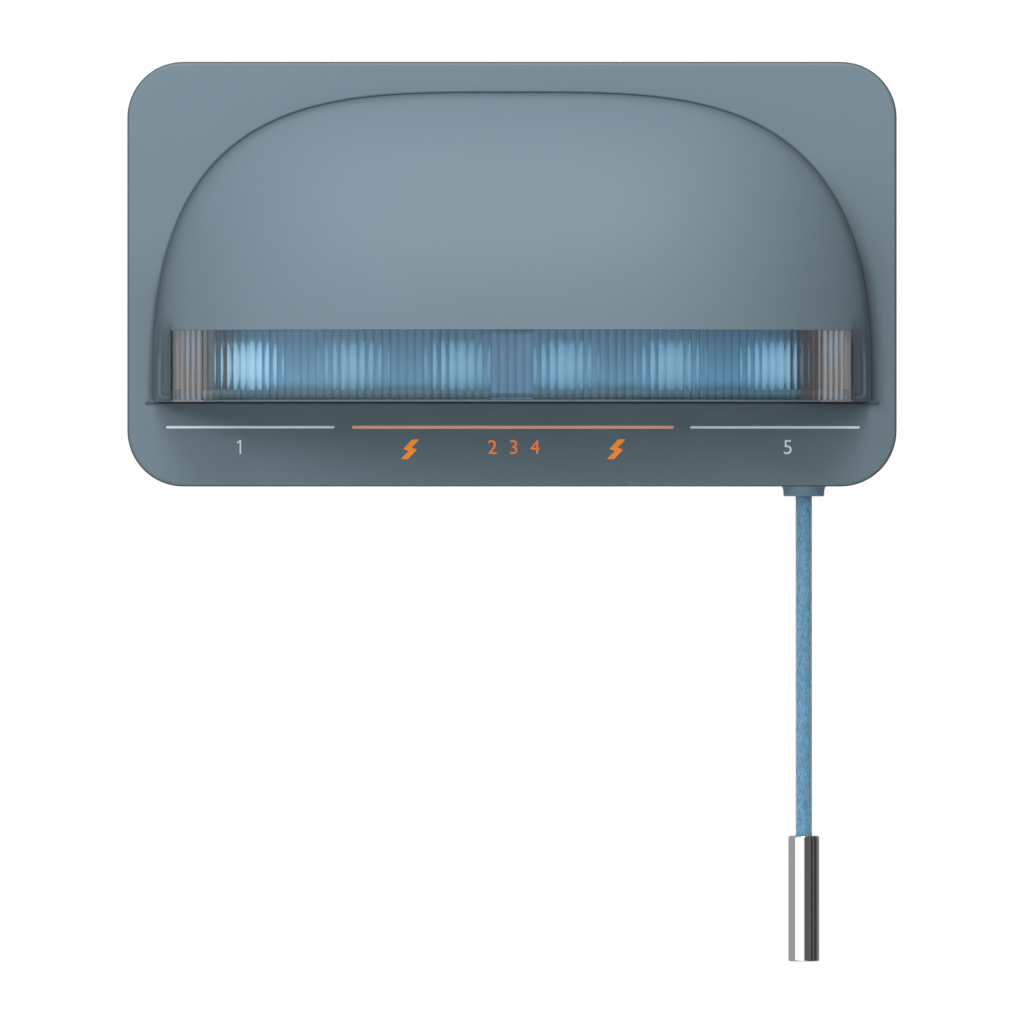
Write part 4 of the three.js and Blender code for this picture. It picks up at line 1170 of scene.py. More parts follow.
@dataclass
class Hood:
    """The domed hood over the brushes, with its sill, painted shade along its outline and dark blocks at its
    two feet that are painted shadow.
    """

    wall: float = 2.2
    side_count: int = 56
    top_count: int = 420
    skin_count: int = 72
    foot_count: int = 6
    inner_count: int = 24
    fine_count: int = 6001
    crowd_low: float = 1.3
    crowd: float = 1.7
    lip: float = 0.2
    rim_reach: float = 15.65
    bead_in: float = 1.4
    bead_rise: float = 1.0
    bead_corner: float = 3.4
    bead_top: float = 26.0
    bead_fade: float = 14.0
    bead_width: float = 0.5
    ridge: float = 0.42
    dip: float = 0.5
    dip_in: float = 2.4
    # Painted shade along the outline and beside the window, with a painted highlight on the bead's crest.
    seam: float = 0.56
    shade_narrow: float = 0.8
    shade_wide: float = 2.6
    shade_fade: float = 62.0
    beside: float = 0.49
    beside_over: float = 5.0
    beside_fade: float = 7.0
    beside_from: float = 109.0
    beside_soft: float = 2.0
    brink: float = 0.27
    brink_width: float = 0.8
    crest: float = 0.2
    crest_top: float = 18.0
    crest_fade: float = 4.0
    darkest: float = 0.95
    sill: tuple[Span, Span, Span] = ((-113.2, 113.2), (16.2, 17.8), (-41.5, -39.2))
    foot: tuple[Span, Span, Span] = ((114.6, 119.2), (15.6, 16.6), (-42.1, -41.4))

    def rails(self) -> tuple[Points, Points, Points]:
        """Lay out the three lines between which the skins run.

        The first follows the window's edge, the second the hood's outline, and the third the
        inner outline; all three go from the right foot over the top to the left foot.

        Returns:
            The window's edge, the outline and the inner outline, each as X and Z.
        """
        rise = WINDOW_RISE * np.linspace(0, 1, self.side_count + 1)[:-1] ** self.crowd_low
        z = HOOD.floor + rise
        edge_side = np.c_[np.full_like(z, WINDOW_HALF), z]
        edge_x = np.linspace(WINDOW_HALF, -WINDOW_HALF, self.top_count + 1)
        edge = np.concatenate([edge_side, np.c_[edge_x, np.full_like(edge_x, WINDOW_TOP)],
                               edge_side[::-1] * [-1, 1]])
        outlines = []
        for inset in (0.0, self.wall):
            height, half = HOOD.height - inset, HOOD.half_width - inset
            side = half * (1 - (rise / height) ** HOOD.top_share) ** (1 / HOOD.side_share)
            start = math.asin((WINDOW_RISE / height) ** (HOOD.top_share / 2))
            turns = np.linspace(start, np.pi - start, self.fine_count)
            top = even(HOOD.outline(turns, inset), self.top_count)
            right = np.c_[side, z]
            outlines.append(np.concatenate([right, top, right[::-1] * [-1, 1]]))
        return edge, outlines[0], outlines[1]

    def bead(self, inwards: Points, rise: Points) -> Points:
        """Shape the soft ridge that runs down each flank and turns in above the floor.

        With d the distance from the outline or the floor, rounded where both are near, the
        ridge and the dip behind it are two bell curves of d that fade out higher up.

        Args:
            inwards: The distance from the outline.
            rise: The height over the floor.

        Returns:
            How far the skin stands proud.
        """
        low = rise + self.bead_in - self.bead_rise
        both = np.hypot(np.maximum(self.bead_corner - inwards, 0), np.maximum(self.bead_corner - low, 0))
        d = self.bead_corner - both
        ridge = self.ridge * hump(d - self.bead_in, self.bead_width)
        dip = self.dip * hump(d - self.dip_in, self.bead_width)
        return (ridge - dip) * risen(rise, self.bead_top, -self.bead_fade)

    def shade(self, x: Points, z: Points, inwards: Points, foot: Points, flank: Flags) -> Points:
        """Paint shade on the skin towards its outline and beside the window.

        With d the distance from the outline, painted shade darkens the skin by a share times
        exp(-d / width), and the width grows towards the foot. Beside the window the painted shade
        is even, with a darker line at the window's edge and a painted highlight along the bead.

        Args:
            x: The points' X.
            z: Their height.
            inwards: Their distance from the outline.
            foot: The height over the floor of the outline's point beside them.
            flank: Which of them have the bead.

        Returns:
            The share of colour that the painted shade takes off.
        """
        side = np.abs(x)
        width = self.shade_narrow + self.shade_wide * hump(foot, self.shade_fade)
        seam = self.seam * np.exp(-inwards / width)
        beside = risen(z, WINDOW_TOP + self.beside_over, -self.beside_fade)
        beside = beside * risen(side, self.beside_from, self.beside_soft)
        brink = hump(side - WINDOW_HALF, self.brink_width) * beside
        crest = hump(inwards - self.bead_in, self.bead_width)
        crest = crest * risen(z - HOOD.floor, self.crest_top, -self.crest_fade)
        seam = seam + (self.beside - seam) * beside + self.brink * brink
        return np.clip(seam - self.crest * np.where(flank, crest, 0), 0, self.darkest)

    def shell(self) -> Piece:
        """Build the hood as one closed section carried along its outline.

        From the window's edge, the outer skin follows the dome. Near the outline its height h
        turns into (h + sqrt(h^2 + c^2)) / 2, which eases it into the foot, with h falling two
        to one past the outline. The section comes back under the foot and along the inner skin.

        Returns:
            The piece.
        """
        edge, outline, inner = self.rails()
        span = np.linalg.norm(outline - edge, axis=1)[None, :]
        share = 1 - (1 - np.linspace(0, 1, self.skin_count + 1)[:, None]) ** self.crowd
        share = share + (1 - share) * (self.lip / span)
        inwards = (1 - share) * span
        x, z = between(edge, outline, share)
        flank = ((outline[:, 1] < WINDOW_TOP) & (np.abs(outline[:, 0]) > WINDOW_HALF))[None, :]
        over = HOOD.over(x, z) + np.where(flank, self.bead(inwards, z - HOOD.floor), 0)
        seam = self.shade(x, z, inwards, outline[None, :, 1] - HOOD.floor, flank)
        out = np.tile(HOOD.foot * np.linspace(0, 1, self.foot_count + 1)[1:, None], len(outline))
        away = HOOD.outward(outline)
        x = np.vstack([x, outline[None, :, 0] + away[None, :, 0] * out])
        z = np.vstack([z, outline[None, :, 1] + away[None, :, 1] * out])
        over = np.vstack([over, -2 * out])
        outer = at(x, HOOD.base + (over + np.sqrt(over**2 + HOOD.foot**2)) / 2, z)
        rim = at(x[-1:], self.rim_reach, z[-1:])
        back = 1 - (1 - np.linspace(1, 0, self.inner_count + 1)[:, None]) ** self.crowd
        inner_x, inner_z = between(edge, inner, back)
        under = at(inner_x[:1], self.rim_reach, inner_z[:1])
        lining = at(inner_x, HOOD.base + HOOD.over(inner_x, inner_z, self.wall), inner_z)
        edge_x, edge_z = edge.T[:, None]
        lip = at(edge_x, HOOD.base + HOOD.over(edge_x, edge_z) - self.lip, edge_z)
        rows = np.concatenate([outer, rim, under, lining, lip])
        # Painted shade: the skin's values, and full shade on the foot, the rim and under it.
        painted_shades = np.zeros(rows.shape[:2])
        painted_shades[:len(seam)] = seam
        painted_shades[len(seam):len(outer) + 2] = self.seam
        return swept("hood", rows, wrap_rows=True, sharp=38, values={"seam": painted_shades})

    def build(self) -> None:
        """Build and dress the hood's pieces."""
        dress(self.shell(), Slot.SHELL, SHELL, "hood_shell")
        dress(rounded_block("hood_sill", *self.sill, edge=0.3), Slot.SHELL, SHELL)
        # Painted shadow: a dark block at each foot of the hood.
        across, *rest = self.foot
        for index, side in enumerate((-1, 1), 1):
            ends = sorted(side * end for end in across)
            dress(rounded_block(f"hood_foot_{index}", ends, *rest, edge=0.12), Slot.SHELL, PAINTED_SHADOW)


@dataclass(frozen=True)
class SideShade:
    """The soft painted shadow that the hood casts on the slab on one side of it.

    With d the distance from the hood, it is near * exp(-(d / width)^2) + wide, and it fades out
    upwards.
    """

    near: float
    wide: float
    width: float
    top: float
    fade: float

    def share(self, z: Points, away: Points) -> Points:
        """The share of light that is lost at a height and a distance."""
        return (self.near * hump(away, self.width) + self.wide) * risen(z, self.top, -self.fade)


@dataclass
class FacePanel:
    """The flat face with rounded corners, a groove round the hood and the holes of its lower edge, with
    painted shade and the hood's painted shadow.
    """

    rear: float = 3.1
    front: float = 16.0
    inner: float = 13.8
    wall: float = 2.2
    edge: float = 1.2
    edge_steps: Span = (1.0, 0.3)
    # Painted shade on the face's front rim and its rear edge.
    edge_shade: float = 0.9
    edge_turn: float = 30.0
    rear_edge: float = 0.15
    rear_shade: float = 0.3
    groove: float = 0.25
    groove_floor: float = 15.6
    # Painted shade in the groove round the hood and on the shoulder beside it.
    groove_shade: float = 0.58
    under_hood: float = 2.2
    shoulder_deep: float = 0.35
    shoulder_low: float = 2.4
    shoulder_high: float = 0.8
    shoulder_fade: float = 34.0
    shoulder_under: float = 0.5
    shoulder_shade: float = 0.54
    # Rings that carry the hood's painted shadow onto the slab.
    shade_rings: tuple[float, ...] = (3.3, 2.5, 1.7, 0.9)
    shade_ring_share: float = 1.15
    eye: Span = (0.0, -8.0)
    far_out: float = 200.0
    halvings: int = 40
    turn_count: int = 480
    turn_digits: int = 6
    corner_turn: float = 1.6
    corner_count: int = 81
    corner_out: float = 2.6
    corner_under: float = 0.4
    bend_turn: float = 9.0
    bend_count: int = 61
    bend_middle: float = 5.3
    edge_count: int = 11
    face_in: float = 0.5
    shoulder_count: int = 13
    shoulder_round: float = 2.2
    shade_round: float = 1.1
    groove_in: float = 0.2
    # The hood's painted shadow on the slab at its left and its right.
    left: SideShade = SideShade(0.25, 0.12, 2.0, 14.0, 22.0)
    right: SideShade = SideShade(0.66, 0.18, 3.5, 40.0, 40.0)
    side_from: float = 85.0
    side_soft: float = 20.0
    side_end: float = 12.0
    hole: tuple[Span, ...] = ((0, -75.0), (4.2, -75.0), (4.2, -60.0), (0, -60.0))
    recess: tuple[Span, Span, Span] = ((-49.3, -30.7), (4.5, 13.5), (-75, -67.3))

    def directions(self) -> Points:
        """Choose the directions in which the rings are cast.

        Returns:
            Sorted turns about the eye: even ones, dense ones at the hood's lower corners, and
            dense ones at the panel's four corners.
        """
        turns = [np.linspace(-np.pi, np.pi, self.turn_count, endpoint=False)]
        for side in (1, -1):
            under = HOOD.floor - self.eye[1] - self.corner_under
            corner = math.atan2(under, side * (HOOD.half_width + self.corner_out))
            spread = np.linspace(-self.corner_turn, self.corner_turn, self.corner_count)
            turns.append(corner + np.radians(spread))
            for end in (1, -1):
                across = side * (PANEL_HALF[0] - self.bend_middle)
                up = end * (PANEL_HALF[1] - self.bend_middle) - self.eye[1]
                spread = np.linspace(-self.bend_turn, self.bend_turn, self.bend_count)
                turns.append(math.atan2(up, across) + np.radians(spread))
        whole = np.concatenate(turns)
        return np.unique(np.round((whole + np.pi) % (2 * np.pi), self.turn_digits))

    def cast(self, inside: Callable[[Points, Points], Flags], turn: Points, reach: float) -> Points:
        """Find where rays from the eye leave a shape, by halving the span again and again.

        Args:
            inside: Tells whether points (x, z) lie in the shape.
            turn: The rays' directions.
            reach: The reach of the ring that they make.

        Returns:
            The ring's points on the shape's border.
        """
        low, high = np.zeros_like(turn), np.full_like(turn, self.far_out)
        for _ in range(self.halvings):
            middle = (low + high) / 2
            hit = inside(self.eye[0] + middle * np.cos(turn), self.eye[1] + middle * np.sin(turn))
            low, high = np.where(hit, middle, low), np.where(hit, high, middle)
        return at(self.eye[0] + low * np.cos(turn), reach, self.eye[1] + low * np.sin(turn))

    def box_ring(self, turn: Points, inset: float, reach: float) -> Points:
        """Lay a ring on the panel's outline, drawn in by an inset."""
        return self.cast(lambda x, z: past_panel(x, z) + inset <= 0, turn, reach)

    def hood_ring(self, turn: Points, off: float, reach: float, share: float = 0.0) -> Points:
        """Lay a ring that follows the hood at a distance, and runs flat under its floor.

        Args:
            turn: The directions of its points.
            off: Its distance from the hood's outline.
            reach: Its reach.
            share: How much of the shoulder's width is added to the distance.

        Returns:
            The ring's points.
        """

        def inside(x: Points, z: Points) -> Flags:
            """Tell which points lie inside the widened hood outline."""
            wide = off + share * self.spread_width(z)
            return (HOOD.level(x, z, -wide) <= 1) & (z - HOOD.floor >= -off - share * self.shoulder_under)

        return self.cast(inside, turn, reach)

    def spread_width(self, z: Points) -> Points:
        """The shoulder's width at a height: wide beside the hood's foot, narrow at its top."""
        bell = hump(np.maximum(z - HOOD.floor, 0), self.shoulder_fade)
        return self.shoulder_high + (self.shoulder_low - self.shoulder_high) * bell

    def side_shade(self, x: Points, z: Points, away: Points) -> Points:
        """The painted shadow that the hood casts on the slab beside it, at a distance from it."""
        share = np.where(x > 0, self.right.share(z, away), self.left.share(z, away))
        return share * risen(np.abs(x), self.side_from, self.side_soft)

    def shell(self) -> Piece:
        """Build the panel as rings that go round its closed section.

        Returns:
            The piece.
        """
        turn = self.directions()
        bends, shares = np.linspace(0, np.pi / 2, self.edge_count), np.linspace(1, 0, self.shoulder_count)
        steps = [(self.rear_edge, self.rear), (0, self.rear + self.rear_edge)]
        steps += [(0, self.front - self.edge - gone) for gone in self.edge_steps]
        steps += [(self.edge * (1 - math.cos(bend)), self.front - self.edge * (1 - math.sin(bend)))
                  for bend in bends]
        steps.append((self.edge + self.face_in, self.front))
        rings = [self.box_ring(turn, inset, reach) for inset, reach in steps]
        # Painted shade on the face's front rim and rear edge.
        fade = np.clip(1 + self.edge_shade - bends / math.radians(self.edge_turn), 0, 1)
        seam = np.r_[self.rear_shade, 0, 0, self.edge_shade, fade]
        first, start = len(rings), len(rings) + len(self.shade_rings) + 1
        offs = [(self.groove + gone, self.shade_ring_share) for gone in (*self.shade_rings, 0.0)]
        faced = np.array(offs + [(self.groove, share) for share in shares])
        drops = np.r_[np.zeros(len(offs)), self.shoulder_deep * (1 - shares) ** self.shoulder_round]
        rings += [self.hood_ring(turn, off, self.front - drop, share)
                  for (off, share), drop in zip(faced, drops)]
        last = len(rings)
        rings += [self.hood_ring(turn, off, self.groove_floor)
                  for off in (self.groove, -self.groove_in, -self.under_hood)]
        rings.append(self.hood_ring(turn, -self.under_hood, self.inner))
        rings += [self.box_ring(turn, self.wall, reach) for reach in (self.inner, self.rear)]
        grid = np.stack(rings)
        x, z = grid[..., 0] / MM, grid[..., 2] / MM
        # Painted shade on the rims, the shoulder and the groove, plus the hood's painted shadow on the slab.
        painted_shades = np.zeros(grid.shape[:2])
        painted_shades[:len(seam)] = seam[:, None]
        painted_shades[start:last] = self.shoulder_shade * (1 - shares[:, None]) ** self.shade_round
        painted_shades[last:last + 4] = self.groove_shade
        away = np.full(grid.shape[:2], self.side_end)
        away[first:last] = faced[:, :1] + faced[:, 1:] * self.spread_width(z[first:last])
        shade = self.side_shade(x, z, away)
        shade[:4] = shade[last:] = 0
        painted_shades = np.clip(painted_shades + shade - SHELL.seam * painted_shades * shade, 0, 1)
        return swept("face_plate", grid, wrap_rows=True, wrap_columns=True, sharp=30, values={"seam": painted_shades})

    def build(self) -> None:
        """Build and dress the panel, with the cord's hole and the plug's recess cut into its lower edge."""
        shell = self.shell()
        tools = [turned("cord_hole", np.array(self.hole), CORD_AXIS, count=48, closed=False),
                 rounded_block("plug_recess", *self.recess, edge=0.3)]
        for tool in tools:
            cutter = shell.modifiers.new(tool.name, "BOOLEAN")
            cutter.operation, cutter.solver, cutter.object = "DIFFERENCE", "EXACT", tool
        mesh = settled(shell)
        shell.modifiers.clear()
        shell.data = mesh
        mesh.set_sharp_from_angle(angle=math.radians(30))
        for tool in tools:
            bpy.data.objects.remove(tool)
        dress(shell, Slot.SHELL, SHELL, "face_panel")


@dataclass
class Window:
    """The ribbed clear band, with what holds it and what shows through it."""

    half: float = 110.95
    low: float = -40.85
    high: float = -18.32
    recess: float = 0.7
    thickness: float = 2.0
    rib_pitch: float = 2.7
    rib_height: float = 0.25
    rib_steps: int = 12
    rib_spread: float = 0.5
    rib_end: float = 109.6
    rib_fade: float = 3.0
    line_count: int = 2400
    foot_rows: tuple[float, ...] = (0.0, 0.3, 0.9)
    rib_from: float = 1.4
    rib_rows: int = 9
    # Painted shade and painted highlights on the band: in the rib valleys and on the crests, in a blind zone,
    # a haze zone, near the ends and at the tips.
    crest_narrow: int = 8
    crest_tone: Span = (0.6, 0.8)
    valley_narrow: int = 3
    valley_tone: Span = (0.4, 1.2)
    plain: float = 0.4
    plain_soft: float = 0.5
    blind: Span = (93.2, 100.4)
    blind_soft: float = 0.6
    blind_dark: float = 2.3
    blind_gleam: float = 0.28
    haze: Span = (95.5, 100.5)
    haze_soft: float = 1.5
    haze_gleam: float = 0.15
    tip: float = 109.9
    tip_soft: float = 0.4
    tip_dark: float = 2.0
    shine: float = 97.0
    shine_soft: float = 3.0
    plain_gleam: float = 0.4
    clamp_span: Span = (100.2, 110.1)
    clamp_count: int = 61
    clamp_root: float = 5.0
    clamp_gaps: Span = (0.05, 0.02)
    clamp_face_in: float = 3.5
    clamp_foot_in: float = 0.04
    clamp_wall: float = 0.35
    lamp_x: tuple[float, ...] = (-85.75, -51.45, -17.15, 17.15, 51.45, 85.75)
    lamp_z: float = -29.8
    lamp_radius: float = 7.5
    lamp_base: float = 16.1
    lamp_depth: float = 5.0
    lamp_rings: int = 14
    lamp_flange: tuple[Span, ...] = (
        (0, 13.5), (3.4, 13.5), (3.4, 13.3), (8.5, 13.3), (8.5, 14.3), (7.5, 14.3),
    )

    def lens(self) -> Piece:
        """Build the band: half-round ribs that stand on the dome's front line.

        At a share s of the line's length the rib stands |sin(pi s n)| times its height off it,
        and fades out along the lower edge and at both ends. Each rib's height and shade differ
        a little by a scattered number. The darkening value is painted shade in the rib valleys,
        in a blind zone at the right and at both tips; the glow value is a painted highlight on
        crests and plain ends near both ends and in a zone on each side.

        Returns:
            The piece.
        """
        line = HOOD.plan(self.half, self.recess + self.rib_height, WINDOW_RISE, self.line_count)
        total = float(np.linalg.norm(np.diff(line, axis=0), axis=1).sum())
        line = even(line, round(total / self.rib_pitch) * self.rib_steps)
        ahead = np.gradient(line, axis=0)
        ahead /= np.linalg.norm(ahead, axis=1, keepdims=True)
        away = np.c_[-ahead[:, 1], ahead[:, 0]]
        steps = np.arange(len(line)) / self.rib_steps
        own, crest = scattered(np.floor(steps)), np.abs(np.sin(np.pi * steps))
        side = np.abs(line[:, 0])
        ribbed = risen(side, self.rib_end, -self.rib_fade)
        rib = self.rib_height * crest * (1 + self.rib_spread * (own - 0.5)) * ribbed
        z = np.r_[self.low + np.array(self.foot_rows),
                  np.linspace(self.low + self.rib_from, self.high, self.rib_rows)]
        height = risen(z - self.low, self.plain, self.plain_soft)[:, None] * rib[None, :]
        x = np.clip(line[None, :, 0] + away[None, :, 0] * height, -self.half, self.half)
        front = at(x, line[None, :, 1] + away[None, :, 1] * height, z[:, None])
        rear_x, rear_reach = (line - away * self.thickness).T[:, None]
        rear = at(np.clip(rear_x, -self.half, self.half), rear_reach, z[[-1, 0], None])
        rows = np.concatenate([front, rear])
        # Painted shade (blind zone, tips, rib valleys) and painted highlights (haze zone, crests and plain
        # ends near the ends).
        blind = within(line[:, 0], self.blind, self.blind_soft)
        haze = within(-line[:, 0], self.haze, self.haze_soft)
        tip = risen(side, self.tip, self.tip_soft)
        shine = risen(side, self.shine, self.shine_soft) * (1 - tip)
        crest_tone, valley_tone = (base + more * own for base, more in (self.crest_tone, self.valley_tone))
        crests = crest**self.crest_narrow * crest_tone * ribbed + self.plain_gleam * (1 - ribbed)
        values = {name: np.zeros(rows.shape[:2]) for name in ("painted_dimming", "painted_gleam")}
        values["painted_dimming"][:len(z)] = ((1 - crest) ** self.valley_narrow * ribbed * valley_tone
                                     + self.blind_dark * blind + self.tip_dark * tip)
        values["painted_gleam"][:len(z)] = crests * shine + self.blind_gleam * blind + self.haze_gleam * haze
        return swept("window", rows, wrap_rows=True, sharp=55, values=values)

    def clamp_band(self, name: str, side: int, tall: Span, inset: float, rise: float) -> Piece:
        """Build a thin band on a clamp that follows the dome's front line.

        Args:
            name: The piece's name.
            side: 1 for the right clamp, -1 for the left one.
            tall: Its lowest and highest Z.
            inset: How far its front lies behind the dome.
            rise: The height over the floor at which it follows the dome.

        Returns:
            The piece.
        """
        x = np.linspace(*self.clamp_span, self.clamp_count)
        insets = (inset, inset + self.clamp_wall)
        half = HOOD.half_width - self.clamp_root
        lines = [HOOD.plan(half, back, rise, self.line_count) for back in insets]
        front, rear = (np.interp(x, line[:, 0], line[:, 1]) for line in lines)
        corners = ((front, tall[0]), (front, tall[1]), (rear, tall[1]), (rear, tall[0]))
        return swept(name, np.stack([at(side * x, *corner) for corner in corners]), wrap_rows=True, sharp=40)

    def lamp_cover(self, index: int, x: float) -> Piece:
        """Build one domed lamp cover: a skirt with a quarter-ellipse dome and a flange behind it.

        Args:
            index: Its number.
            x: Its middle.

        Returns:
            The piece.
        """
        dome = np.linspace(0, np.pi / 2, self.lamp_rings)
        front = np.c_[self.lamp_radius * np.cos(dome), self.lamp_base + self.lamp_depth * np.sin(dome)]
        profile = np.concatenate([eased(self.lamp_flange, cut=0.12, closed=False, steps=2), front])
        return turned(f"lamp_cover_{index}", profile, (x, self.lamp_z), count=56, closed=False, outwards=True)

    def build(self) -> None:
        """Build and dress the window's band, its lamp covers and the bands on its clamps."""
        dress(self.lens(), Slot.WINDOW, WINDOW, "window_lens")
        for index, x in enumerate(self.lamp_x, 1):
            cover = self.lamp_cover(index, x)
            dress(cover, Slot.DOME, ODD_DOMES.get(index, DOME), f"lamp_lens_{index}")
        face = (self.low, self.high)
        foot = (HOOD.floor + self.clamp_gaps[0], self.low - self.clamp_gaps[1])
        # The clamp bands' glow is painted light.
        for index, side in enumerate((-1, 1), 1):
            dress(self.clamp_band(f"clamp_face_{index}", side, face, self.clamp_face_in, WINDOW_RISE),
                  Slot.BRACKET, CLAMP)
            dress(self.clamp_band(f"clamp_foot_{index}", side, foot, self.clamp_foot_in, 0.0),
                  Slot.BRACKET, CLAMP_FOOT)


@dataclass
class BrushTray:
    """The floor of the hood, with its keyhole slots, its lip and its two screws."""

    low: float = -41.2
    high: float = -37.7
    back: float = 18.1
    half: float = 112.4
    front_in: float = 4.2
    front_count: int = 240
    lip_half: float = 110.7
    lip_in: float = 0.4
    lip_count: int = 320
    lip_high: float = 0.6
    slots: tuple[float, ...] = (-68.6, -34.3, 0.0, 34.3, 68.6)
    mouth_radius: float = 9.5
    mouth_reach: float = 40.0
    mouth_count: int = 49
    neck: float = 5.0
    neck_reach: float = 28.0
    neck_count: int = 25
    screw: Span = (105.1, 22.4)
    screw_head: Span = (2.0, 1.2)
    well: float = 2.3

    def keyhole(self, x: float) -> Points:
        """Draw a slot's outline: a wide circle that runs into a neck with a round end.

        Args:
            x: The slot's middle.

        Returns:
            The outline, counterclockwise, as X and reach.
        """
        open_turn = math.asin(self.neck / self.mouth_radius)
        wide = np.linspace(-np.pi / 2 + open_turn, 1.5 * np.pi - open_turn, self.mouth_count)
        end = np.linspace(-np.pi, 0, self.neck_count)
        mouth = self.mouth_radius * np.c_[np.cos(wide), np.sin(wide)] + [x, self.mouth_reach]
        neck = self.neck * np.c_[np.cos(end), np.sin(end)] + [x, self.neck_reach]
        return np.concatenate([mouth, neck])

    def build(self) -> None:
        """Build and dress the tray and its screws."""
        keyholes = [self.keyhole(x) for x in self.slots]
        places = [(side * self.screw[0], self.screw[1]) for side in (-1, 1)]
        holes = keyholes + [circle(*place, self.well) for place in places]
        front = HOOD.plan(self.half, self.front_in, 0.0, self.front_count)
        front = front[front[:, 1] > self.back]
        end = front[-1, 0]
        inner = np.concatenate([[[-end, self.back], [end, self.back]], front[::-1]])
        lip_front = HOOD.plan(self.lip_half, self.lip_in, 0.0, self.lip_count)
        lip = np.concatenate([[[-self.lip_half, self.back], [self.lip_half, self.back]], lip_front[::-1]])
        floor = plate("brush_floor", inner, holes, self.low, self.high, edge=1.4, lay=Lay.LEVEL, fine=5)
        top = HOOD.floor + self.lip_high
        rim = plate("tray_lip", lip, holes, HOOD.floor, top, edge=0.12, lay=Lay.LEVEL, fine=1)
        # The tray's glow is painted light.
        dress(floor, Slot.SHELL, TRAY, "brush_tray")
        # The lip's darker colour is painted shade.
        dress(rim, Slot.SHELL, LIP)
        for index, place in enumerate(places, 1):
            screw = cross_screw(f"tray_fixing_{index}", place, *self.screw_head, HOOD.floor, up=True)
            dress(screw, Slot.STEEL, STEEL, f"tray_screw_{index}")


@dataclass
class BackCover:
    """The rear cover with its pocket and screws, and the wall plate and tape that it hangs on."""

    near: float = 0.5
    far: float = 2.8
    pocket: Span = (60.5, 28.5)
    pocket_middle: float = -3.0
    pocket_reach: float = 3.4
    pocket_wall: float = 2.2
    pocket_corner: float = 2.0
    pocket_floor: float = 2.0
    around_corner: float = 3.0
    wall_lap: float = 0.4
    well: float = 3.1
    screw_head: Span = (2.8, 1.6)
    hook_x: float = 45.0
    hook_half: float = 4.0
    hook_slot: tuple[float, float, float] = (4.5, 4.75, 0.6)
    hook_slot_z: float = 6.55
    arm: tuple[Span, Span] = ((2.4, 7.5), (8.0, 11.0))
    hook: tuple[Span, Span] = ((5.8, 7.5), (8.0, 16.0))
    slab: tuple[float, float, float] = (60.0, 25.0, 6.0)
    slab_deep: Span = (1.3, 3.0)
    tape: tuple[float, float, float] = (57.0, 22.0, 4.0)
    tape_deep: Span = (0.0, 1.0)
    screws: tuple[Span, ...] = (
        (-110.0, -54.0), (-110.0, 54.0), (110.0, -54.0), (110.0, 54.0),
        (-104.5, -8.0), (-35.0, 49.0), (104.5, -8.0), (35.0, 49.0),
    )

    def cover(self) -> Piece:
        """Build the rear cover: a plate with screw wells, and a sunk pocket with two hook slots.

        Returns:
            The piece.
        """
        outline, middle = rounded_box(*PANEL_HALF, PANEL_CORNER, steps=28), (0.0, self.pocket_middle)
        opening = rounded_box(*self.pocket, self.pocket_corner, middle)
        halves = [half + self.pocket_wall for half in self.pocket]
        around = rounded_box(*halves, self.around_corner, middle)
        wells = [circle(x, z, self.well) for x, z in self.screws]
        slots = [rounded_box(*self.hook_slot, (side * self.hook_x, self.hook_slot_z)) for side in (-1, 1)]
        deep, lap = self.pocket_reach, self.wall_lap
        return joined("back_cover", [
            plate("cover_back", outline, [opening, *wells], self.near, self.far, edge=0.55, fine=4),
            plate("cover_wall", around, [opening], self.far - lap, deep + lap, edge=0.02, fine=1),
            plate("cover_floor", around, slots, deep, deep + self.pocket_floor, edge=0.25),
        ])

    def mount(self) -> Piece:
        """Build the wall plate with its two hooks.

        Returns:
            The piece.
        """
        pieces = [plate("mount_slab", rounded_box(*self.slab), [], *self.slab_deep, edge=0.4, fine=3)]
        for middle in (-self.hook_x, self.hook_x):
            across = (middle - self.hook_half, middle + self.hook_half)
            pieces.append(rounded_block("mount_arm", across, *self.arm, edge=0.35))
            pieces.append(rounded_block("mount_hook", across, *self.hook, edge=0.35))
        return joined("mount_plate", pieces)

    def build(self) -> None:
        """Build and dress the back's pieces."""
        dress(self.cover(), Slot.SHELL, SHELL, "rear_cover")
        dress(self.mount(), Slot.BLACK, BLACK, "wall_plate", body=Body.WALL)
        tape = plate("foam_tape_pad", rounded_box(*self.tape), [], *self.tape_deep, edge=0.15)
        dress(tape, Slot.FOAM, FOAM, "adhesive_pad", body=Body.WALL)
        for index, place in enumerate(self.screws, 1):
            screw = cross_screw(f"case_fixing_{index}", place, *self.screw_head, self.near, up=False)
            dress(screw, Slot.STEEL, STEEL, f"case_screw_{index}")


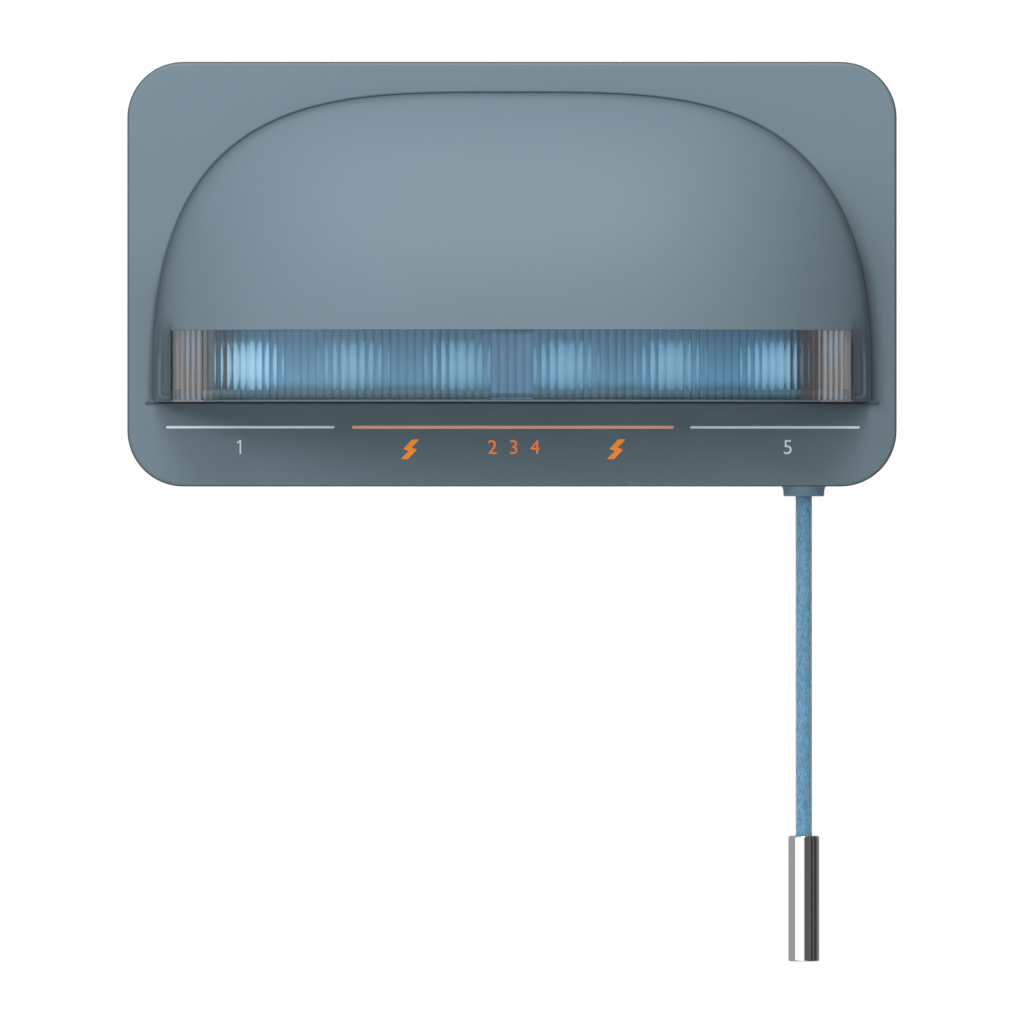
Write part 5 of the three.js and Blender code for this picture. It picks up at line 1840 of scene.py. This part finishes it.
@dataclass
class PullCord:
    """The braided cord with its collar, its polished weight and the weight's plug."""

    top: float = -45.2
    end: float = -192.6
    radius: float = 2.6
    around: int = 112
    along: int = 760
    strands: int = 16
    strand_pitch: float = 1.3
    relief: float = 0.18
    roundness: float = 0.8
    sunk: float = 0.25
    route_count: int = 20
    sleeve: tuple[Span, ...] = (
        (4.3, -223.4), (5, -223.4), (5, -182.6), (3, -182.6), (3, -191.6), (4.3, -191.6),
    )
    sleeve_cuts: tuple[float, ...] = (0.15, 0.69, 0.8, 0.3, 0.2, 0.2)
    stopper: tuple[Span, ...] = (
        (0, -220.4), (4, -220.4), (4, -223.4), (3.2, -223.4), (2.9, -223.1), (0, -223.1),
    )
    guide: tuple[Span, ...] = (
        (3, -72.2), (6.65, -72.2), (6.65, -70.6), (6.8, -69.7), (7.25, -68.9), (3.9, -68.9),
        (3.9, -64.7), (3, -64.7),
    )
    guide_cuts: tuple[float, ...] = (0.35, 0.7, 0.3, 0.3, 0.05, 0.1, 0.1, 0.1)

    def braid(self) -> Piece:
        """Build the cord's woven skin.

        Two families of strands wind the two ways round. With a and b the phases of the two
        helices, a strand's crest is the larger of two rounded ridges, |cos(a / 2)| and
        |cos(b / 2)|, that pass over each other in turn, and the skin stands that much proud.

        Returns:
            The piece, with a strand, a thread and a fleck value at each point. The fleck is a
            scattered number of the crossing, so it is the same in each run.
        """
        turn = np.linspace(0, 2 * np.pi, self.around, endpoint=False)[None, :]
        z = np.linspace(self.top, self.end, self.along)[:, None]
        climb = 2 * np.pi * z / (2 * self.strand_pitch)
        first, second = self.strands * turn + climb, self.strands * turn - climb
        swap = self.sunk * np.sign(np.sin((first + second) / 2) * np.sin((first - second) / 2))
        ridge_one = np.abs(np.cos(first / 2)) ** self.roundness * (1 - self.sunk + swap)
        ridge_two = np.abs(np.cos(second / 2)) ** self.roundness * (1 - self.sunk - swap)
        crest = np.maximum(ridge_one, ridge_two)
        threads = 0.5 + 0.5 * np.sin(np.where(ridge_one > ridge_two, first * 3 + second, second * 3 + first))
        one, two = (np.floor(phase / np.pi) % (2 * self.strands) for phase in (first, second))
        out = self.radius + self.relief * (crest - 0.5)
        rows = at(CORD_X + out * np.cos(turn), CORD_REACH + out * np.sin(turn), z)
        return swept("braided_cord", rows, wrap_columns=True, sharp=80,
                     values={"strand": crest, "thread": threads, "fleck": scattered(one, two)})

    def weight(self) -> Piece:
        """Build the polished sleeve with its rounded ends and its two bores."""
        return turned("steel_weight", eased(self.sleeve, self.sleeve_cuts, steps=8), CORD_AXIS, count=160)

    def plug(self) -> Piece:
        """Build the plug that closes the weight from below, with a shallow dish in its face."""
        profile = eased(self.stopper, cut=0.2, closed=False, steps=4)
        return turned("weight_end_plug", profile, CORD_AXIS, closed=False)

    def collar(self) -> Piece:
        """Build the collar that guides the cord: a turned ring, flared where it meets the panel."""
        profile = eased(self.guide, self.guide_cuts, steps=6)
        return turned("cord_collar_ring", profile, CORD_AXIS, count=128)

    def build(self) -> None:
        weight = dress(self.weight(), Slot.POLISHED, POLISHED, "pull_weight", body=Body.PULL)
        plug = dress(self.plug(), Slot.POLISHED, STEEL, "weight_plug", body=Body.PULL)
        cord = dress(self.braid(), Slot.BRAID, CORD, "pull_cord", body=Body.PULL)
        route = at(CORD_X, CORD_REACH, np.linspace(self.top, self.end, self.route_count))
        dress(self.collar(), Slot.SHELL, COLLAR, "cord_collar")


@dataclass
class Print:
    """The printed lines, bolts and slot numbers on the strip under the hood."""

    reach: float = 16.0
    proud: float = 0.05
    left_line: Bar = (-112.4, -57.7, -49.75, 0.4)
    middle_line: Bar = (-52.0, 52.6, -49.75, 0.5)
    right_line: Bar = (57.9, 113.0, -49.8, 0.4)
    line_round: float = 0.98
    figure_x: tuple[float, float, float] = (-88.4, 0.6, 89.6)
    figure_z: float = -56.2
    figure_high: float = 4.6
    bolt_x: Span = (-33.1, 33.9)
    bolt_z: float = -56.9
    bolt_high: float = 6.4
    text_depth: float = 0.02
    bolt_half: tuple[Span, ...] = ((0.475, 0.5), (0.11, 0.5), (-0.356, 0.01), (-0.06, -0.08))
    figure_one: tuple[Span, ...] = (
        (-0.03, -0.5), (0.08, -0.5), (0.08, 0.5), (-0.03, 0.5), (-0.23, 0.34), (-0.18, 0.25), (-0.03, 0.36),
    )

    def stamped(self, name: str, outline: Points) -> Piece:
        """A flat printed shape, a hair proud of the panel."""
        return plate(name, outline, [], self.reach, self.reach + self.proud, edge=0.01, fine=0)

    def bar(self, name: str, left: float, right: float, z: float, half: float) -> Piece:
        """A line with round ends."""
        size = (right - left) / 2, half, half * self.line_round
        return self.stamped(name, rounded_box(*size, ((left + right) / 2, z), steps=8))

    def bolt(self, name: str, x: float) -> Piece:
        """A slanted bolt: two leaning bars, one over the other, that meet in the middle."""
        corners = np.outer([1, -1], np.array(self.bolt_half)).reshape(-1, 2) * self.bolt_high
        return self.stamped(name, eased(corners + [x, self.bolt_z], cut=0.1, steps=3))

    def one(self, name: str, x: float) -> Piece:
        """The figure one: an upright stem with a flag that leans down to its left."""
        return self.stamped(name, np.array(self.figure_one) * self.figure_high + [x, self.figure_z])

    def number(self, name: str, words: str, x: float) -> Piece:
        """Set a row of plain figures.

        Args:
            name: The piece's name.
            words: The figures.
            x: The middle of the row.

        Returns:
            The piece.
        """
        text = bpy.data.curves.new(name, "FONT")
        text.body, text.align_x, text.align_y = words, "CENTER", "CENTER"
        text.extrude, text.size, text.resolution_u = self.text_depth, 1.0, 8
        mesh, spot = drawn(name, text)
        low, top = spot.min(0), spot.max(0)
        flat = (spot - (low + top) / 2) * (self.figure_high / (top[1] - low[1]))
        deep = self.reach + self.proud * (0.5 + spot[:, 2] / (2 * self.text_depth))
        return moved(name, mesh, at(x + flat[:, 0], deep, self.figure_z + flat[:, 1]))

    def build(self) -> None:
        """Build and dress the prints."""
        left, middle, right = self.figure_x
        inked = (
            (self.bar("white_line_left", *self.left_line), WHITE_INK),
            (self.bar("white_line_right", *self.right_line), WHITE_INK),
            (self.one("slot_number_left", left), WHITE_INK),
            (self.number("slot_number_right", "5", right), WHITE_INK),
            (self.bolt("bolt_left", self.bolt_x[0]), AMBER_INK),
            (self.bolt("bolt_right", self.bolt_x[1]), AMBER_INK),
            (self.number("slot_numbers_middle", "2  3  4", middle), ORANGE_INK),
            (self.bar("orange_line", *self.middle_line), LINE_INK),
        )
        for piece, ink in inked:
            dress(piece, Slot.WHITE, ink)


@dataclass
class Inside:
    """The spring of the pull switch and the rubber plug, and the paint of the solids that stay."""

    wire: float = 0.4
    wire_count: int = 14
    active_turns: int = 6
    turn_count: int = 40
    travel: float = 5.0
    flap: tuple[Span, Span, Span] = ((-49, -31), (4.8, 13.2), (-69, -67.6))
    tongue: tuple[Span, Span, Span] = ((-44.7, -35.3), (7.0, 11.0), (-68.3, -66.7))
    paints: tuple[tuple[Finish, tuple[str, ...]], ...] = (
        (BOARD, ("lamp_board", "main_board")),
        (BLACK, ("battery_cradle", "micro_switch", "cord_knot")),
        (CAN, ("battery_cell_left", "battery_cell_right")),
        (LEAD, ("lamp_lead", "battery_lead")),
        (WHITE, ("collar_nut", "switch_housing", "pull_slider", "switch_plunger")),
        (STEEL, ("charge_port", "lamp_board_screw_1", "lamp_board_screw_2", "main_board_screw_1",
                 "main_board_screw_2")),
        (EMITTER, tuple(f"uv_emitter_{index}" for index in range(1, 7))),
        (POST, ("window_post",)),
        # The clamps' glow is painted light.
        (CLAMP, ("window_clamp_left", "window_clamp_right")),
        # The lining's glow is painted light.
        (LINING, ("chamber_liner",)),
    )

    def spring(self) -> Piece:
        """Wind the spring under the slider: a round wire on a helix whose end turns lie closed.

        The wire's middle climbs one wire thickness in the first and the last turn and the rest
        in the turns between, and its ring stands upright along the helix.

        Returns:
            The piece.
        """
        low, high = (np.array(corner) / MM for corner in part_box("return_spring"))
        turns = self.active_turns + 2
        share = np.linspace(0, turns, turns * self.turn_count + 1)
        rise = high[2] - low[2] - 2 * self.wire
        climb = np.interp(share, [0, 1, turns - 1, turns], [0, 2 * self.wire, rise - 2 * self.wire, rise])
        around = np.linspace(0, 2 * np.pi, self.wire_count, endpoint=False)[None, :]
        out = (high[0] - low[0]) / 2 - self.wire + self.wire * np.cos(around)
        turn = 2 * np.pi * share[:, None]
        z = low[2] + self.wire + climb[:, None] + self.wire * np.sin(around)
        rows = at(CORD_X + out * np.cos(turn), CORD_REACH + out * np.sin(turn), z)
        piece = swept("coil_spring", rows, wrap_columns=True, sharp=60)
        dress(piece, Slot.STEEL, STEEL, "return_spring")
        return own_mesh(piece)

    def build(self) -> None:
        """Paint the solids that stay, wind the spring and build the rubber plug."""
        self.spring()
        for finish, names in self.paints:
            for name in names:
                paint_node(name, finish)
        flap = rounded_block("plug_flap_cover", *self.flap, edge=0.45)
        tongue = rounded_block("plug_tongue", *self.tongue, edge=0.4)
        dress(joined("rubber_plug", [flap, tongue]), Slot.RUBBER, RUBBER, "port_plug", body=Body.FLAP)


@dataclass(frozen=True)
class SoftLight:
    """A square soft light that points at the part."""

    name: str
    power: float
    size: float
    rise: float
    side: float
    distance: float
    tint: Colour
    plain: bool = False

    def hang(self) -> None:
        """Put the light up, out of the camera's sight; a plain one leaves no highlights either."""
        lamp = bpy.data.lights.new(self.name, "AREA")
        lamp.energy, lamp.size, lamp.color = self.power, self.size, self.tint
        holder = bpy.data.objects.new(self.name, lamp)
        up, over = math.radians(self.rise), math.radians(self.side)
        away = Vector((math.cos(up) * math.sin(over), -math.cos(up) * math.cos(over), math.sin(up)))
        holder.location = away * self.distance
        holder.rotation_euler = away.to_track_quat("Z", "Y").to_euler()
        holder.visible_camera = holder.visible_transmission = False
        holder.visible_glossy = not self.plain
        bpy.context.scene.collection.objects.link(holder)


@dataclass
class Studio:
    """The camera, lights, floor and grey cards of a plain studio.

    A card is an upright grey strip that only reflections see. It starts and ends at two turns
    about the weight, in degrees from the front to the right.
    """

    distance: float = 12.0
    view_width: float = 0.3328
    view_middle: float = -0.0773
    sensor: float = 36.0
    face: float = 0.016
    fill: Colour = (0.13, 0.135, 0.14)
    floor_height: float = -0.26
    floor_y: float = -0.37
    floor_radius: float = 0.62
    floor_fade: Span = (0.3, 0.6)
    card_distance: float = 0.95
    card_half: float = 3.5
    card_count: int = 13
    floor_count: int = 96
    lights: tuple[SoftLight, ...] = (
        SoftLight("main_light", 5.3, 0.38, 48.0, 0.0, 1.0, (1.0, 0.99, 0.99)),
        SoftLight("top_light", 2.3, 0.15, 68.0, 6.0, 1.2, (1.0, 0.99, 1.0)),
        SoftLight("left_light", 5.3, 0.5, 22.0, -50.0, 1.4, (0.99, 0.99, 1.0), plain=True),
        SoftLight("front_light", 3.8, 0.55, 20.0, 0.0, 1.3, (1.0, 1.0, 1.0), plain=True),
    )
    cards: tuple[tuple[float, float, float], ...] = (
        (-180.0, -78.0, 0.33), (-78.0, -70.0, 0.25), (3.0, 45.0, 0.095), (45.0, 51.0, 0.17),
        (51.0, 68.0, 0.033), (68.0, 83.0, 0.1), (83.0, 114.0, 0.046), (114.0, 180.0, 0.19),
    )

    def camera(self) -> None:
        """Set up a level camera with a long lens, far in front of the part."""
        lens = bpy.data.cameras.new("front_camera")
        lens.sensor_width = self.sensor
        lens.lens = self.sensor * (self.distance - self.face) / self.view_width
        lens.clip_end = 40
        holder = bpy.data.objects.new("front_camera", lens)
        holder.location = (0.0, -self.distance, self.view_middle)
        holder.rotation_euler = (math.pi / 2, 0, 0)
        bpy.context.scene.collection.objects.link(holder)
        bpy.context.scene.camera = holder

    def world(self) -> None:
        """Show plain white to the camera, to mirrors and to clear plastic, and a soft fill to all else."""
        world = bpy.data.worlds.new("studio_air")
        bpy.context.scene.world = world
        world.use_nodes = True
        graph = Graph(world.node_tree)
        path = graph.node("LightPath").outputs
        mirrored = graph.math("MAXIMUM", path["Is Glossy Ray"], path["Is Transmission Ray"])
        shown = graph.math("MAXIMUM", path["Is Camera Ray"], mirrored)
        air = graph.mixed(shown, covering(self.fill), covering((1, 1, 1)))
        graph.feed(world.node_tree.nodes["Background"], {"Color": air, "Strength": 1.0})

    def set_piece(self, name: str, points: Points, faces: list[list[int]],
                  surface: Callable[[Graph, Node], Socket]) -> Piece:
        """Make a piece of the studio.

        Args:
            name: Its name, and its material's.
            points: Its points in metres.
            faces: The point numbers of each face.
            surface: Lays out its look, given the nodes and the Principled shader.

        Returns:
            The piece.
        """
        mesh = bpy.data.meshes.new(name)
        mesh.from_pydata(points.tolist(), [], faces)
        paint = bpy.data.materials.new(name)
        paint.use_nodes = True
        graph, nodes = Graph(paint.node_tree), paint.node_tree.nodes
        graph.feed(nodes["Material Output"], {"Surface": surface(graph, nodes["Principled BSDF"])})
        mesh.materials.append(paint)
        return linked(name, mesh)

    def card(self, index: int, start: float, end: float, grey: float) -> None:
        """Bend a card round the weight's axis, as a piece of an upright cylinder.

        Args:
            index: Its number.
            start: Where it starts.
            end: Where it ends.
            grey: Its tone.
        """
        turn = np.radians(np.linspace(start, end, self.card_count))[None, :]
        x = CORD_X * MM + self.card_distance * np.sin(turn)
        y = -CORD_REACH * MM - self.card_distance * np.cos(turn)
        rows = np.stack(np.broadcast_arrays(x, y, np.array([[-self.card_half], [self.card_half]])), axis=-1)
        faces = grid_quads(2, self.card_count, False, False).tolist()
        piece = self.set_piece(f"card_{index}", rows.reshape(-1, 3), faces,
                               lambda graph, shader: graph.shine((grey, grey, grey)))
        piece.visible_camera = piece.visible_diffuse = piece.visible_shadow = False
        piece.visible_transmission = False

    def floor_look(self, graph: Graph, shader: Node) -> Socket:
        """Fade pale grey into the white of the air, and leave the floor clear from below.

        Args:
            graph: The floor's nodes.
            shader: Its Principled shader.

        Returns:
            The surface.
        """
        middle = (0.0, -self.floor_y, -self.floor_height)
        centred = graph.node("VectorMath", {0: graph.place(), 1: middle}, operation="ADD").outputs[0]
        far = graph.node("VectorMath", {0: centred}, operation="LENGTH").outputs["Value"]
        fade = graph.ramp(far, *self.floor_fade, how="SMOOTHSTEP")
        graph.feed(shader, {"Base Color": (0.9, 0.9, 0.9, 1), "Roughness": 0.8})
        above = graph.node("MixShader", {0: fade, 1: shader.outputs[0], 2: graph.shine((1, 1, 1))})
        return graph.node("MixShader", {
            0: graph.node("NewGeometry").outputs["Backfacing"], 1: above.outputs[0],
            2: graph.node("BsdfTransparent").outputs[0],
        }).outputs[0]

    def floor(self) -> None:
        """Lay a pale round floor."""
        ring = circle(0.0, self.floor_y, self.floor_radius, self.floor_count)
        points = np.c_[ring, np.full(self.floor_count, self.floor_height)]
        face = list(range(self.floor_count))
        piece = self.set_piece("studio_floor", points, [face], self.floor_look)
        piece.visible_glossy = False

    def build(self) -> None:
        """Set up everything but the camera, which comes first."""
        self.world()
        for light in self.lights:
            light.hang()
        for index, strip in enumerate(self.cards, 1):
            self.card(index, *strip)
        self.floor()


def main() -> None:
    """Build the camera, the cord, then every other piece."""
    logging.basicConfig(level=logging.INFO, format="%(message)s")
    bpy.context.scene.view_settings.view_transform = "Standard"
    studio = Studio()
    studio.camera()
    parts = (PullCord(), Hood(), FacePanel(), Window(), BrushTray(), BackCover(), Print(), Inside(), studio)
    for part in parts:
        LOG.info("building %s", type(part).__name__)
        part.build()


if __name__ == "__main__":
    main()
